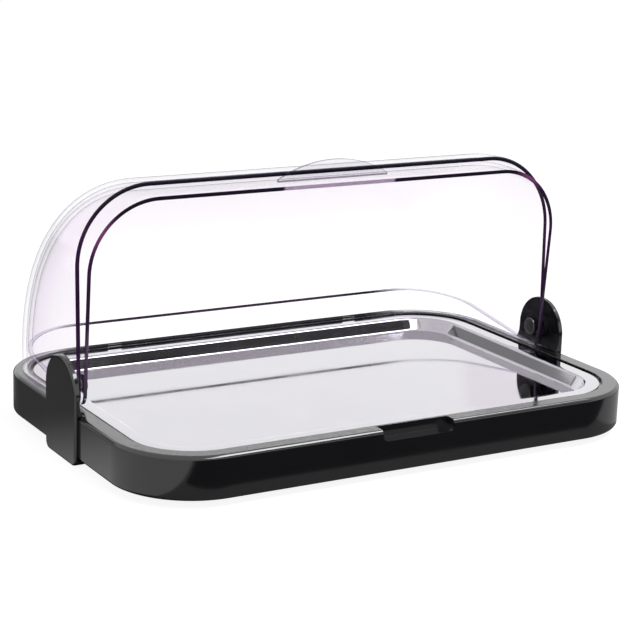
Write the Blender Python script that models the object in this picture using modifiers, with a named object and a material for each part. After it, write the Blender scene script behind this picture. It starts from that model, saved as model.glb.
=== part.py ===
"""Buffet display dome: a black moulded base with a polished steel serving tray over two cold packs, under a
two-part clear roll-top hood. The rear hood stands on the base, and the front hood rolls back underneath it.

Metres, +Z up. X runs along the long side, Y to the back. The origin is on the table under the middle of the
base.
"""

import math

import bmesh
import bpy
from mathutils import Matrix, Vector

# Base, seen from above a rectangle with round corners
BASE_LENGTH = 0.425
BASE_DEPTH = 0.290
BASE_CORNER = 0.061
BASE_TOP = 0.0376
WALL_BOTTOM = 0.0055
BASE_WALL = 0.0025
RIM_WIDTH = 0.013
LEDGE_WIDTH = 0.006
SKIRT_DEPTH = 0.008
TOP_ROUND = 0.0022
BOTTOM_ROUND = 0.0028
WALL_SIDE_THICKNESS = 0.003

# Finger notch in the front of the base
NOTCH_WIDTH = 0.060
NOTCH_DEPTH = 0.0085
NOTCH_CORNER = 0.0045
NOTCH_LINING = 0.0022

# Bottom pan with its ribs
PAN_BOTTOM = 0.0074
PAN_THICKNESS = 0.002
PAN_RIB = 0.002
PAN_RIB_TOP = 0.0245
PAN_RIB_INSET = 0.021

# Serving tray, pressed from sheet
TRAY_SHEET = 0.0008
TRAY_SUNK = 0.0012
TRAY_SIDE_GAP = 0.0025
TRAY_LAND = 0.0095
TRAY_DEPTH = 0.010
TRAY_SLOPE = 0.0055
TRAY_BEND = 0.0014

# Cold packs under the tray
PACK_TOP_GAP = 0.0009
PACK_SIDE_GAP = 0.001
PACK_ROUND = 0.0035
PLUG_RADIUS = 0.010
PLUG_DEPTH = 0.003
PLUG_INSET = 0.028

# Axis that both hoods hang on
PIVOT_Y = -0.0049
PIVOT_Z = 0.0549

# Rear hood, fixed. It stands on the rim of the base, set in a little from the ends and from the back
REAR_SIDE_INSET = 0.0063
REAR_BACK_INSET = 0.0055
REAR_HALF_LENGTH = BASE_LENGTH / 2 - REAR_SIDE_INSET
REAR_RADIUS = BASE_DEPTH / 2 - PIVOT_Y - REAR_BACK_INSET
REAR_CORNER = 0.0582
REAR_WALL = 0.0032
REAR_RIM_ANGLE = math.radians(91.6)
REAR_RIM_OFFSET = 0.0065

# Front hood, which rolls back under the rear one with a gap to it at the ends and all round
HOOD_SIDE_GAP = 0.0006
HOOD_ROUND_GAP = 0.0028
FRONT_HALF_LENGTH = REAR_HALF_LENGTH - REAR_WALL - HOOD_SIDE_GAP
FRONT_RADIUS = REAR_RADIUS - REAR_WALL - HOOD_ROUND_GAP
FRONT_CORNER = 0.0540
FRONT_WALL = 0.003
FRONT_RIM_ANGLE = math.radians(85.5)
FRONT_RIM_OFFSET = 0.0099
FRONT_BACK_ANGLE = math.radians(172.0)
FRONT_BACK_OFFSET = 0.0154

# Both hoods
EAR_ROUND = 0.0105
EAR_PROFILE_SHARE = 0.5
HOOD_ARC_STEP = math.radians(4.5)
CORNER_STEPS = 7

# Two lugs that hold the rear hood down in slots of the base
LUG_WIDTH = 0.012
LUG_DROP = 0.0045
LUG_SPACING = 0.220

# Grip tab on the front hood
TAB_CHORD = 0.095
TAB_HEIGHT = 0.013
TAB_PLINTH = 0.0018
TAB_THICKNESS = 0.0025
TAB_ROOT = 0.0015
TAB_SETBACK = 0.0105

# Hinge brackets on the sides of the base
BRACKET_WIDTH = 0.054
BRACKET_Y = -0.0015
BRACKET_ROUND_Z = 0.050
BRACKET_PROUD = 0.0027
BRACKET_THICKNESS = 0.0042
BRACKET_EDGE = 0.0018
BRACKET_BOTTOM = 0.0005
BRACKET_FOOT_CORNER = 0.006
BRACKET_LIP = 0.006
BRACKET_FLARE_WIDTH = 0.0038
BRACKET_FLARE_HEIGHT = 0.010
BOSS_RADIUS = 0.010

# Pivot pins
PIN_RADIUS = 0.004
PIN_HEAD_RADIUS = 0.007
PIN_HEAD_THICKNESS = 0.0016
PIN_DEPTH_IN_BRACKET = 0.0025
PIN_HOLE_CLEARANCE = 0.0003

# Screws
SCREW_RADIUS = 0.0012
SCREW_HEAD_RADIUS = 0.0026
SCREW_HEAD_HEIGHT = 0.0016
SCREW_LENGTH = 0.010
SCREW_SLOT = 0.0007
SCREW_HOLE_CLEARANCE = 0.0003
SCREW_BOSS_RADIUS = 0.0036
PAN_SCREW_SHARES = (
    (-0.33, 1), (0.33, 1), (-0.33, -1), (0.33, -1), (-1, 0.34), (1, 0.34), (-1, -0.34), (1, -0.34),
)
BRACKET_SCREW_LENGTH = 0.0048
BRACKET_SCREW_SPACING = 0.030
BRACKET_SCREW_HEIGHT = 0.021

# Rubber feet
FOOT_RADIUS = 0.009
FOOT_STEM_RADIUS = 0.003
FOOT_ROUND = 0.0012
FOOT_INSET = 0.045

# Gap between pieces that touch, and how far a cutter runs past what it cuts
GAP = 0.0003
OVERRUN = 0.002
WELD = 0.00002
ROUND_SIDES = 24
SMALL_SIDES = 12
OUTLINE_CORNER_STEPS = 9


def clear_scene():
    for obj in list(bpy.data.objects):
        bpy.data.objects.remove(obj, do_unlink=True)


def collection(name):
    made = bpy.data.collections.new(name)
    bpy.context.scene.collection.children.link(made)
    return made


def material(name, colour, metallic=0.0, roughness=0.5, transmission=0.0, alpha=1.0):
    made = bpy.data.materials.new(name)
    made.use_nodes = True
    shader = made.node_tree.nodes["Principled BSDF"]
    shader.inputs["Base Color"].default_value = (*colour, 1.0)
    shader.inputs["Metallic"].default_value = metallic
    shader.inputs["Roughness"].default_value = roughness
    shader.inputs["Transmission Weight"].default_value = transmission
    shader.inputs["Alpha"].default_value = alpha
    return made


def add_object(name, mesh, into, mat=None):
    obj = bpy.data.objects.new(name, mesh)
    into.objects.link(obj)
    if mat:
        mesh.materials.clear()
        mesh.materials.append(mat)
    return obj


def as_cutter(obj):
    obj.hide_render = True
    obj.display_type = "WIRE"
    return obj


def boolean(target, other, operation):
    modifier = target.modifiers.new(other.name, "BOOLEAN")
    modifier.operation = operation
    modifier.solver = "EXACT"
    modifier.object = other
    return modifier


def cut(target, cutter):
    boolean(target, cutter, "DIFFERENCE")


def join(target, added):
    boolean(target, added, "UNION")


def smooth(mesh, angle=math.radians(35)):
    mesh.shade_smooth()
    mesh.set_sharp_from_angle(angle=angle)


def mesh_of_bmesh(bm, name):
    mesh = bpy.data.meshes.new(name)
    bmesh.ops.recalc_face_normals(bm, faces=bm.faces)
    bm.to_mesh(mesh)
    bm.free()
    return mesh


def box_mesh(name, low, high):
    """A box between two corners."""
    bm = bmesh.new()
    bmesh.ops.create_cube(bm, size=1.0)
    size = Vector(high) - Vector(low)
    middle = (Vector(high) + Vector(low)) / 2
    bmesh.ops.transform(bm, matrix=Matrix.Translation(middle) @ Matrix.Diagonal((*size, 1.0)), verts=bm.verts)
    return mesh_of_bmesh(bm, name)


def rod_mesh(name, radius, start, end, sides=ROUND_SIDES):
    """A cylinder from one point to another."""
    start, end = Vector(start), Vector(end)
    along = end - start
    bm = bmesh.new()
    bmesh.ops.create_cone(
        bm, cap_ends=True, segments=sides, radius1=radius, radius2=radius, depth=along.length,
        matrix=Matrix.Translation((start + end) / 2) @ along.to_track_quat("Z", "Y").to_matrix().to_4x4(),
    )
    return mesh_of_bmesh(bm, name)


def arc_points(centre, radius, start, end, steps):
    return [
        (centre[0] + radius * math.cos(start + (end - start) * i / steps),
         centre[1] + radius * math.sin(start + (end - start) * i / steps))
        for i in range(steps + 1)
    ]


def rounded_rectangle(length, depth, corner, steps=OUTLINE_CORNER_STEPS, centre=(0.0, 0.0)):
    """Outline of a rectangle with round corners, anticlockwise."""
    points = []
    quarter = math.pi / 2
    for turn, (sx, sy) in enumerate(((1, 1), (-1, 1), (-1, -1), (1, -1))):
        middle = (centre[0] + sx * (length / 2 - corner), centre[1] + sy * (depth / 2 - corner))
        points += arc_points(middle, corner, turn * quarter, (turn + 1) * quarter, steps)
    return points


def poly_curve(name, points, dimensions="2D"):
    curve = bpy.data.curves.new(name, "CURVE")
    curve.dimensions = dimensions
    spline = curve.splines.new("POLY")
    spline.points.add(len(points) - 1)
    for point, (x, y) in zip(spline.points, points):
        point.co = (x, y, 0.0, 1.0)
    spline.use_cyclic_u = True
    return curve


def mesh_from_curve(curve, into):
    """The mesh of a curve, with its caps welded and its faces turned out."""
    holder = bpy.data.objects.new(curve.name, curve)
    into.objects.link(holder)
    graph = bpy.context.evaluated_depsgraph_get()
    mesh = bpy.data.meshes.new_from_object(holder.evaluated_get(graph))
    bpy.data.objects.remove(holder)
    bm = bmesh.new()
    bm.from_mesh(mesh)
    bmesh.ops.remove_doubles(bm, verts=bm.verts, dist=WELD)
    bmesh.ops.recalc_face_normals(bm, faces=bm.faces)
    bm.to_mesh(mesh)
    bm.free()
    return mesh


def plate_mesh(name, points, thickness, into, edge=0.0):
    """A flat outline in XY, extruded half its thickness each way along Z, with its edges rounded by edge."""
    curve = poly_curve(name, points)
    curve.fill_mode = "BOTH"
    curve.extrude = thickness / 2 - edge
    curve.bevel_depth = edge
    curve.bevel_resolution = 2
    curve.offset = -edge
    return mesh_from_curve(curve, into)


def standing_plate(name, points, low, high, into, edge=0.0):
    """An outline in the YZ plane, extruded along X between two places."""
    mesh = plate_mesh(name, points, high - low, into, edge)
    turn = Matrix(((0, 0, 1, (low + high) / 2), (1, 0, 0, 0), (0, 1, 0, 0), (0, 0, 0, 1)))
    mesh.transform(turn)
    return mesh


def lying_plate(name, points, low, high, into):
    mesh = plate_mesh(name, points, high - low, into)
    mesh.transform(Matrix.Translation((0, 0, (low + high) / 2)))
    return mesh


def swept_ring(name, length, depth, corner, section, into):
    """A moulding whose section, in (inset, height), runs round a rectangle with round corners."""
    profile = poly_curve(name + "_section", section)
    profile_holder = bpy.data.objects.new(profile.name, profile)
    into.objects.link(profile_holder)
    path = poly_curve(name, rounded_rectangle(length, depth, corner)[::-1])
    path.bevel_mode = "OBJECT"
    path.bevel_object = profile_holder
    mesh = mesh_from_curve(path, into)
    bpy.data.objects.remove(profile_holder)
    return mesh


def pressed_sheet(name, outline, steps, height):
    """An open sheet: an outline face, inset and lowered in turn, each step an (inset, drop)."""
    bm = bmesh.new()
    face = bm.faces.new([bm.verts.new((x, y, height)) for x, y in outline])
    face.normal_update()
    for inset, drop in steps:
        bmesh.ops.inset_region(bm, faces=[face], thickness=inset, use_even_offset=True, use_boundary=True)
        bmesh.ops.translate(bm, verts=face.verts, vec=(0, 0, -drop))
    mesh = bpy.data.meshes.new(name)
    bm.to_mesh(mesh)
    bm.free()
    return mesh


def turned_mesh(name, profile, sides, into):
    """A solid turned round Z from (radius, height) pairs that run down its outer side."""
    mesh = bpy.data.meshes.new(name)
    mesh.from_pydata([(r, 0, z) for r, z in profile], [(i, i + 1) for i in range(len(profile) - 1)], [])
    holder = bpy.data.objects.new(name, mesh)
    into.objects.link(holder)
    screw = holder.modifiers.new("Turn", "SCREW")
    screw.steps = screw.render_steps = sides
    screw.use_merge_vertices = True
    screw.merge_threshold = WELD
    graph = bpy.context.evaluated_depsgraph_get()
    made = bpy.data.meshes.new_from_object(holder.evaluated_get(graph))
    bpy.data.objects.remove(holder)
    bm = bmesh.new()
    bm.from_mesh(made)
    bmesh.ops.remove_doubles(bm, verts=bm.verts, dist=WELD)
    bmesh.ops.recalc_face_normals(bm, faces=bm.faces)
    bm.to_mesh(made)
    bm.free()
    return made


def screw_mesh(name, length, into):
    """A pan-head screw along Z, its head at the bottom and its shank pointing up."""
    dome = SCREW_HEAD_HEIGHT / 3
    profile = [
        (0, length),
        (SCREW_RADIUS / 2, length),
        (SCREW_RADIUS, length - SCREW_RADIUS),
        (SCREW_RADIUS, 0),
        (SCREW_HEAD_RADIUS, 0),
        (SCREW_HEAD_RADIUS, -SCREW_HEAD_HEIGHT + dome),
        (SCREW_HEAD_RADIUS - dome, -SCREW_HEAD_HEIGHT),
        (0, -SCREW_HEAD_HEIGHT),
    ]
    return turned_mesh(name, profile, SMALL_SIDES, into)


def slot_cutters(name, into):
    """The cross recess of a screw head."""
    reach = SCREW_HEAD_RADIUS / 2
    top = -SCREW_HEAD_HEIGHT - OVERRUN
    floor = -SCREW_HEAD_HEIGHT / 2
    return [
        box_mesh(name + "_slot_x", (-reach, -SCREW_SLOT / 2, top), (reach, SCREW_SLOT / 2, floor)),
        box_mesh(name + "_slot_y", (-SCREW_SLOT / 2, -reach, top), (SCREW_SLOT / 2, reach, floor)),
    ]


def add_screw(name, length, matrix, parts, cutters, mat):
    mesh = screw_mesh(name, length, cutters)
    obj = add_object(name, mesh, parts, mat)
    obj.matrix_world = matrix
    smooth(mesh)
    for slot in slot_cutters(name, cutters):
        slot_object = as_cutter(add_object(slot.name, slot, cutters))
        slot_object.matrix_world = matrix
        cut(obj, slot_object)
    return obj


def base_section():
    """Section of the base moulding, in (inset from the outer face, height)."""
    ledge = ledge_top()
    ledge_end = RIM_WIDTH + LEDGE_WIDTH
    quarter = math.pi / 2
    side = WALL_SIDE_THICKNESS
    section = arc_points((BOTTOM_ROUND, WALL_BOTTOM + BOTTOM_ROUND), BOTTOM_ROUND, -quarter, -2 * quarter, 3)
    section += arc_points((TOP_ROUND, BASE_TOP - TOP_ROUND), TOP_ROUND, 2 * quarter, quarter, 3)
    section += [
        (RIM_WIDTH, BASE_TOP),
        (RIM_WIDTH, ledge),
        (ledge_end, ledge),
        (ledge_end, ledge - SKIRT_DEPTH),
        (ledge_end - BASE_WALL, ledge - SKIRT_DEPTH),
        (ledge_end - BASE_WALL, ledge - BASE_WALL),
        (RIM_WIDTH - BASE_WALL, ledge - BASE_WALL),
        (RIM_WIDTH - BASE_WALL, BASE_TOP - BASE_WALL),
        (side, BASE_TOP - BASE_WALL),
        (side, WALL_BOTTOM),
    ]
    return section


def ledge_top():
    return BASE_TOP - TRAY_SUNK - TRAY_SHEET - GAP


def tray_floor_underside():
    return BASE_TOP - TRAY_SUNK - TRAY_DEPTH - TRAY_SHEET


def pan_top():
    return PAN_BOTTOM + PAN_THICKNESS


def screw_inset():
    """Middle of the channel between the outer wall and the inner web of the base."""
    return (WALL_SIDE_THICKNESS + RIM_WIDTH - BASE_WALL) / 2


def pan_screw_places():
    reach_x = BASE_LENGTH / 2 - screw_inset()
    reach_y = BASE_DEPTH / 2 - screw_inset()
    return [(x_share * reach_x, y_share * reach_y) for x_share, y_share in PAN_SCREW_SHARES]


def bracket_screw_places():
    return [(BRACKET_Y + side * BRACKET_SCREW_SPACING / 2, BRACKET_SCREW_HEIGHT) for side in (-1, 1)]


def bracket_upper_face():
    """Inner face of the bracket's upper plate, beside the hoods."""
    return BASE_LENGTH / 2 + BRACKET_PROUD - BRACKET_THICKNESS


def foot_places():
    return [
        (sx * (BASE_LENGTH / 2 - FOOT_INSET), sy * (BASE_DEPTH / 2 - FOOT_INSET))
        for sx in (-1, 1) for sy in (-1, 1)
    ]


def build_base(parts, cutters, mat):
    """The base moulding: outer wall, flat rim, ledge for the tray, lined finger notch and screw bosses."""
    mesh = swept_ring("base_frame", BASE_LENGTH, BASE_DEPTH, BASE_CORNER, base_section(), cutters)
    base = add_object("base_frame", mesh, parts, mat)
    smooth(mesh)

    front = -BASE_DEPTH / 2
    lining = box_mesh(
        "notch_lining",
        (-NOTCH_WIDTH / 2 - NOTCH_LINING, front + WALL_SIDE_THICKNESS / 2,
         BASE_TOP - NOTCH_DEPTH - NOTCH_LINING),
        (NOTCH_WIDTH / 2 + NOTCH_LINING, front + RIM_WIDTH - BASE_WALL / 2, BASE_TOP - BASE_WALL / 2),
    )
    join(base, as_cutter(add_object("notch_lining", lining, cutters)))

    for index, (x, y) in enumerate(pan_screw_places()):
        boss = rod_mesh(
            f"screw_boss_{index}", SCREW_BOSS_RADIUS,
            (x, y, pan_top() + GAP), (x, y, BASE_TOP - BASE_WALL / 2), SMALL_SIDES,
        )
        join(base, as_cutter(add_object(boss.name, boss, cutters)))

    # The notch is cut down from the rim, with round lower corners, and stops before the ledge
    top = BASE_TOP + NOTCH_CORNER
    bottom = BASE_TOP - NOTCH_DEPTH
    half = NOTCH_WIDTH / 2
    down = 1.5 * math.pi
    outline = [(half, top), (-half, top)]
    outline += arc_points((-half + NOTCH_CORNER, bottom + NOTCH_CORNER), NOTCH_CORNER, math.pi, down, 5)
    outline += arc_points((half - NOTCH_CORNER, bottom + NOTCH_CORNER), NOTCH_CORNER, down, 2 * math.pi, 5)
    notch_length = RIM_WIDTH - BASE_WALL + OVERRUN
    notch = plate_mesh("notch", outline, notch_length, cutters)
    notch.transform(
        Matrix.Translation((0, front - OVERRUN + notch_length / 2, 0)) @ Matrix.Rotation(math.pi / 2, 4, "X")
    )
    cut(base, as_cutter(add_object("notch", notch, cutters)))

    for index, (x, y) in enumerate(pan_screw_places()):
        pilot = rod_mesh(
            f"screw_pilot_{index}", SCREW_RADIUS + SCREW_HOLE_CLEARANCE,
            (x, y, pan_top() - OVERRUN), (x, y, PAN_BOTTOM + SCREW_LENGTH + OVERRUN / 2), SMALL_SIDES,
        )
        cut(base, as_cutter(add_object(pilot.name, pilot, cutters)))

    for side in (-1, 1):
        for index, (y, z) in enumerate(bracket_screw_places()):
            hole = rod_mesh(
                f"wall_hole_{side}_{index}", SCREW_RADIUS + SCREW_HOLE_CLEARANCE,
                (side * (BASE_LENGTH / 2 - WALL_SIDE_THICKNESS - OVERRUN), y, z),
                (side * (BASE_LENGTH / 2 + OVERRUN), y, z), SMALL_SIDES,
            )
            cut(base, as_cutter(add_object(hole.name, hole, cutters)))

    for index, side in enumerate((-1, 1)):
        low, high = lug_box(side, GAP, BASE_TOP + OVERRUN)
        slot = box_mesh(f"lug_slot_{index}", low, high)
        cut(base, as_cutter(add_object(slot.name, slot, cutters)))
    return base


def build_pan(parts, cutters, mat):
    """The bottom pan: a plate with a raised rib round the cold packs and one between them."""
    edge = WALL_SIDE_THICKNESS + GAP
    outline = rounded_rectangle(BASE_LENGTH - 2 * edge, BASE_DEPTH - 2 * edge, BASE_CORNER - edge)
    mesh = lying_plate("base_pan", outline, PAN_BOTTOM, pan_top(), cutters)
    pan = add_object("base_pan", mesh, parts, mat)

    sunk = PAN_THICKNESS / 2
    inset = PAN_RIB_INSET
    section = [(0, pan_top() - sunk), (0, PAN_RIB_TOP), (PAN_RIB, PAN_RIB_TOP), (PAN_RIB, pan_top() - sunk)]
    rib = swept_ring(
        "pan_rib", BASE_LENGTH - 2 * inset, BASE_DEPTH - 2 * inset, BASE_CORNER - inset, section, cutters
    )
    join(pan, as_cutter(add_object("pan_rib", rib, cutters)))
    reach = BASE_DEPTH / 2 - inset - PAN_RIB / 2
    divider = box_mesh(
        "pan_divider", (-PAN_RIB / 2, -reach, pan_top() - sunk), (PAN_RIB / 2, reach, pack_top() - PACK_ROUND)
    )
    join(pan, as_cutter(add_object("pan_divider", divider, cutters)))

    for index, (x, y) in enumerate(pan_screw_places()):
        hole = rod_mesh(
            f"pan_hole_{index}", SCREW_RADIUS + SCREW_HOLE_CLEARANCE,
            (x, y, PAN_BOTTOM - OVERRUN), (x, y, pan_top() + OVERRUN), SMALL_SIDES,
        )
        cut(pan, as_cutter(add_object(hole.name, hole, cutters)))
    for index, (x, y) in enumerate(foot_places()):
        hole = rod_mesh(
            f"foot_hole_{index}", FOOT_STEM_RADIUS + GAP,
            (x, y, PAN_BOTTOM - OVERRUN), (x, y, pan_top() + OVERRUN), SMALL_SIDES,
        )
        cut(pan, as_cutter(add_object(hole.name, hole, cutters)))
    return pan


def build_feet(parts, cutters, mat):
    """Rubber feet, each pushed into the pan by its stem."""
    top = PAN_BOTTOM - GAP
    profile = [
        (0, pan_top() - GAP),
        (FOOT_STEM_RADIUS, pan_top() - GAP),
        (FOOT_STEM_RADIUS, top),
        (FOOT_RADIUS, top),
        (FOOT_RADIUS, FOOT_ROUND),
        (FOOT_RADIUS - FOOT_ROUND, 0),
        (0, 0),
    ]
    mesh = turned_mesh("foot", profile, ROUND_SIDES, cutters)
    smooth(mesh)
    mesh.materials.append(mat)
    names = ("foot_front_left", "foot_rear_left", "foot_front_right", "foot_rear_right")
    for name, (x, y) in zip(names, foot_places()):
        foot = add_object(name, mesh, parts)
        foot.location = (x, y, 0)


def build_tray(parts, mat):
    """The serving tray: a flat land, a sloping wall and a flat floor, with small bends between them."""
    edge = RIM_WIDTH + TRAY_SIDE_GAP
    outline = rounded_rectangle(BASE_LENGTH - 2 * edge, BASE_DEPTH - 2 * edge, BASE_CORNER - edge)
    bend_drop = TRAY_BEND / 3
    steps = [
        (TRAY_LAND, 0),
        (TRAY_BEND, bend_drop),
        (TRAY_SLOPE, TRAY_DEPTH - 2 * bend_drop),
        (TRAY_BEND, bend_drop),
    ]
    mesh = pressed_sheet("tray", outline, steps, BASE_TOP - TRAY_SUNK)
    tray = add_object("tray", mesh, parts, mat)
    smooth(mesh)
    sheet = tray.modifiers.new("Sheet", "SOLIDIFY")
    sheet.thickness = TRAY_SHEET
    sheet.offset = -1
    sheet.use_even_offset = True
    return tray


def pack_top():
    return tray_floor_underside() - PACK_TOP_GAP


def pack_outline(side):
    """Outline of one cold pack, which fills its half of the pan's rib. side is -1 or 1."""
    inset = PAN_RIB_INSET + PAN_RIB + PACK_SIDE_GAP
    inner = PAN_RIB / 2 + PACK_SIDE_GAP
    outer = BASE_LENGTH / 2 - inset
    return (outer - inner, BASE_DEPTH - 2 * inset, BASE_CORNER - inset, side * (outer + inner) / 2)


def build_packs(parts, cutters, pack_mat, plug_mat):
    """Two cold packs, each with a filler plug in its top near the middle of the front."""
    for name, side in (("left", -1), ("right", 1)):
        length, depth, corner, middle = pack_outline(side)
        outline = rounded_rectangle(length, depth, corner, centre=(middle, 0.0))
        mesh = lying_plate(f"cold_pack_{name}", outline, pan_top() + GAP, pack_top(), cutters)
        pack = add_object(f"cold_pack_{name}", mesh, parts, pack_mat)
        round_edge = pack.modifiers.new("Round", "BEVEL")
        round_edge.width = PACK_ROUND
        round_edge.segments = 2
        round_edge.limit_method = "ANGLE"
        round_edge.angle_limit = math.radians(60)

        x, y = middle, -depth / 2 + PLUG_INSET
        top = pack_top()
        seat = rod_mesh(
            f"plug_seat_{name}", PLUG_RADIUS + GAP, (x, y, top - PLUG_DEPTH), (x, y, top + OVERRUN)
        )
        cut(pack, as_cutter(add_object(seat.name, seat, cutters)))
        plug_mesh = rod_mesh(
            f"pack_plug_{name}", PLUG_RADIUS, (x, y, top - PLUG_DEPTH + GAP), (x, y, top - GAP)
        )
        add_object(f"pack_plug_{name}", plug_mesh, parts, plug_mat)
        smooth(plug_mesh)


def hood_profile(half_length, radius, corner):
    """Half outline of a hood in (x, distance from the pivot axis), from the axis round to the axis."""
    quarter = math.pi / 2
    left = arc_points((-half_length + corner, radius - corner), corner, 2 * quarter, quarter, CORNER_STEPS)
    right = arc_points((half_length - corner, radius - corner), corner, quarter, 0, CORNER_STEPS)
    return [(-half_length, 0)] + left + right + [(half_length, 0)]


def radial(angle):
    """Direction from the pivot axis at an angle: 0 is straight forward, a right angle is straight up."""
    return Vector((0, -math.cos(angle), math.sin(angle)))


def ahead(angle):
    """Direction square to radial(angle), towards smaller angles."""
    return Vector((0, -math.sin(angle), -math.cos(angle)))


def is_straight(vert):
    """Whether a vertex only divides a straight edge."""
    first, second = (edge.other_vert(vert).co - vert.co for edge in vert.link_edges[:2])
    return len(vert.link_edges) == 2 and first.angle(second) > math.radians(179)


def hood_mesh(name, half_length, radius, corner, planes):
    """An open hood surface, turned round the pivot axis at the origin and trimmed by planes."""
    bm = bmesh.new()
    points = hood_profile(half_length, radius, corner)
    verts = [bm.verts.new((x, -r, 0)) for x, r in points]
    edges = [bm.edges.new(pair) for pair in zip(verts, verts[1:])]
    steps = round(2 * math.pi / HOOD_ARC_STEP)
    bmesh.ops.spin(
        bm, geom=verts + edges, cent=(0, 0, 0), axis=(-1, 0, 0), angle=2 * math.pi, steps=steps,
        use_merge=True,
    )
    bmesh.ops.remove_doubles(bm, verts=bm.verts, dist=WELD)
    for point, normal in planes:
        bmesh.ops.bisect_plane(
            bm, geom=bm.verts[:] + bm.edges[:] + bm.faces[:], dist=WELD / 2,
            plane_co=point, plane_no=normal, clear_outer=True,
        )
    bmesh.ops.recalc_face_normals(bm, faces=bm.faces)
    for side in (-1, 1):
        flat = [face for face in bm.faces if all(abs(v.co.x - side * half_length) < WELD for v in face.verts)]
        bmesh.ops.dissolve_faces(bm, faces=flat, use_verts=False)
    # Each trim line keeps only its ends on the flat sides, and an ear rounds the corner where two lines meet
    near = [
        vert for vert in bm.verts
        if abs(abs(vert.co.x) - half_length) < WELD
        and vert.co.yz.length < radius - corner - WELD
    ]
    bmesh.ops.dissolve_verts(bm, verts=[vert for vert in near if is_straight(vert)])
    ears = [vert for vert in near if vert.is_valid]
    bmesh.ops.bevel(
        bm, geom=ears, offset=EAR_ROUND, offset_type="OFFSET", segments=6, profile=EAR_PROFILE_SHARE,
        affect="VERTICES",
    )
    outward = sum((face.normal.dot(face.calc_center_median()) for face in bm.faces), 0.0)
    if outward < 0:
        bmesh.ops.reverse_faces(bm, faces=bm.faces)
    mesh = bpy.data.meshes.new(name)
    bm.to_mesh(mesh)
    bm.free()
    return mesh


def add_hood(name, mesh, wall, parts, mat):
    hood = add_object(name, mesh, parts, mat)
    smooth(mesh)
    shell = hood.modifiers.new("Wall", "SOLIDIFY")
    shell.thickness = wall
    shell.offset = -1
    shell.use_even_offset = True
    hood.location = (0, PIVOT_Y, PIVOT_Z)
    return hood


def drill_ears(hood, name, half_length, wall, cutters):
    """The holes that the pivot pins pass through."""
    for side in (-1, 1):
        hole = rod_mesh(
            f"{name}_hole_{side}", PIN_RADIUS + PIN_HOLE_CLEARANCE,
            (side * (half_length - wall - OVERRUN), PIVOT_Y, PIVOT_Z),
            (side * (half_length + OVERRUN), PIVOT_Y, PIVOT_Z),
        )
        cut(hood, as_cutter(add_object(hole.name, hole, cutters)))


def lug_box(side, clearance, top):
    """Corners of one lug under the rear hood's back edge, grown by a clearance and reaching up to top."""
    back = PIVOT_Y + rear_hood_reach()
    middle = side * LUG_SPACING / 2
    return (
        (middle - LUG_WIDTH / 2 - clearance, back - REAR_WALL - clearance, BASE_TOP - LUG_DROP - clearance),
        (middle + LUG_WIDTH / 2 + clearance, back + clearance, top),
    )


def rear_hood_reach():
    """How far behind the pivot the rear hood's outer face meets its bottom edge, less a small gap."""
    drop = PIVOT_Z - BASE_TOP - GAP
    return math.sqrt(REAR_RADIUS ** 2 - drop ** 2) - GAP


def build_rear_hood(parts, cutters, mat):
    floor = Vector((0, 0, BASE_TOP + GAP - PIVOT_Z))
    planes = [
        (ahead(REAR_RIM_ANGLE) * REAR_RIM_OFFSET, ahead(REAR_RIM_ANGLE)),
        (floor, Vector((0, 0, -1))),
    ]
    mesh = hood_mesh("rear_hood", REAR_HALF_LENGTH, REAR_RADIUS, REAR_CORNER, planes)
    hood = add_hood("rear_hood", mesh, REAR_WALL, parts, mat)
    for index, side in enumerate((-1, 1)):
        low, high = lug_box(side, 0, BASE_TOP + REAR_WALL)
        lug = box_mesh(f"lug_{index}", low, high)
        join(hood, as_cutter(add_object(lug.name, lug, cutters)))
    drill_ears(hood, "rear_hood", REAR_HALF_LENGTH, REAR_WALL, cutters)
    return hood


def rim_crown_angle(angle, offset, radius):
    """Angle at which a rim that stands ahead of the axis by an offset reaches the crown."""
    return angle - math.asin(offset / radius)


def tab_angle():
    """Angle of the middle of the grip tab, a little behind the front hood's rim."""
    rim = rim_crown_angle(FRONT_RIM_ANGLE, FRONT_RIM_OFFSET, FRONT_RADIUS)
    return rim + (TAB_SETBACK + TAB_THICKNESS / 2) / FRONT_RADIUS


def build_front_hood(parts, cutters, mat):
    planes = [
        (ahead(FRONT_RIM_ANGLE) * FRONT_RIM_OFFSET, ahead(FRONT_RIM_ANGLE)),
        (-ahead(FRONT_BACK_ANGLE) * FRONT_BACK_OFFSET, -ahead(FRONT_BACK_ANGLE)),
    ]
    mesh = hood_mesh("front_hood", FRONT_HALF_LENGTH, FRONT_RADIUS, FRONT_CORNER, planes)
    hood = add_hood("front_hood", mesh, FRONT_WALL, parts, mat)

    # The tab is a segment of a circle on a low plinth across the hood, its root sunk in the wall
    circle = (TAB_CHORD ** 2 / 4 + TAB_HEIGHT ** 2) / (2 * TAB_HEIGHT)
    half_turn = math.asin(TAB_CHORD / 2 / circle)
    middle = (0, TAB_PLINTH + TAB_HEIGHT - circle)
    arc = arc_points(middle, circle, math.pi / 2 - half_turn, math.pi / 2 + half_turn, 16)
    outline = arc + [(-TAB_CHORD / 2, -TAB_ROOT), (TAB_CHORD / 2, -TAB_ROOT)]
    tab = plate_mesh("grip_tab", outline, TAB_THICKNESS, cutters)
    up = radial(tab_angle())
    place = Matrix.Translation(Vector((0, PIVOT_Y, PIVOT_Z)) + up * FRONT_RADIUS)
    tab.transform(place @ Matrix.Rotation(math.pi - tab_angle(), 4, "X"))
    join(hood, as_cutter(add_object("grip_tab", tab, cutters)))
    drill_ears(hood, "front_hood", FRONT_HALF_LENGTH, FRONT_WALL, cutters)
    return hood


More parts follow.
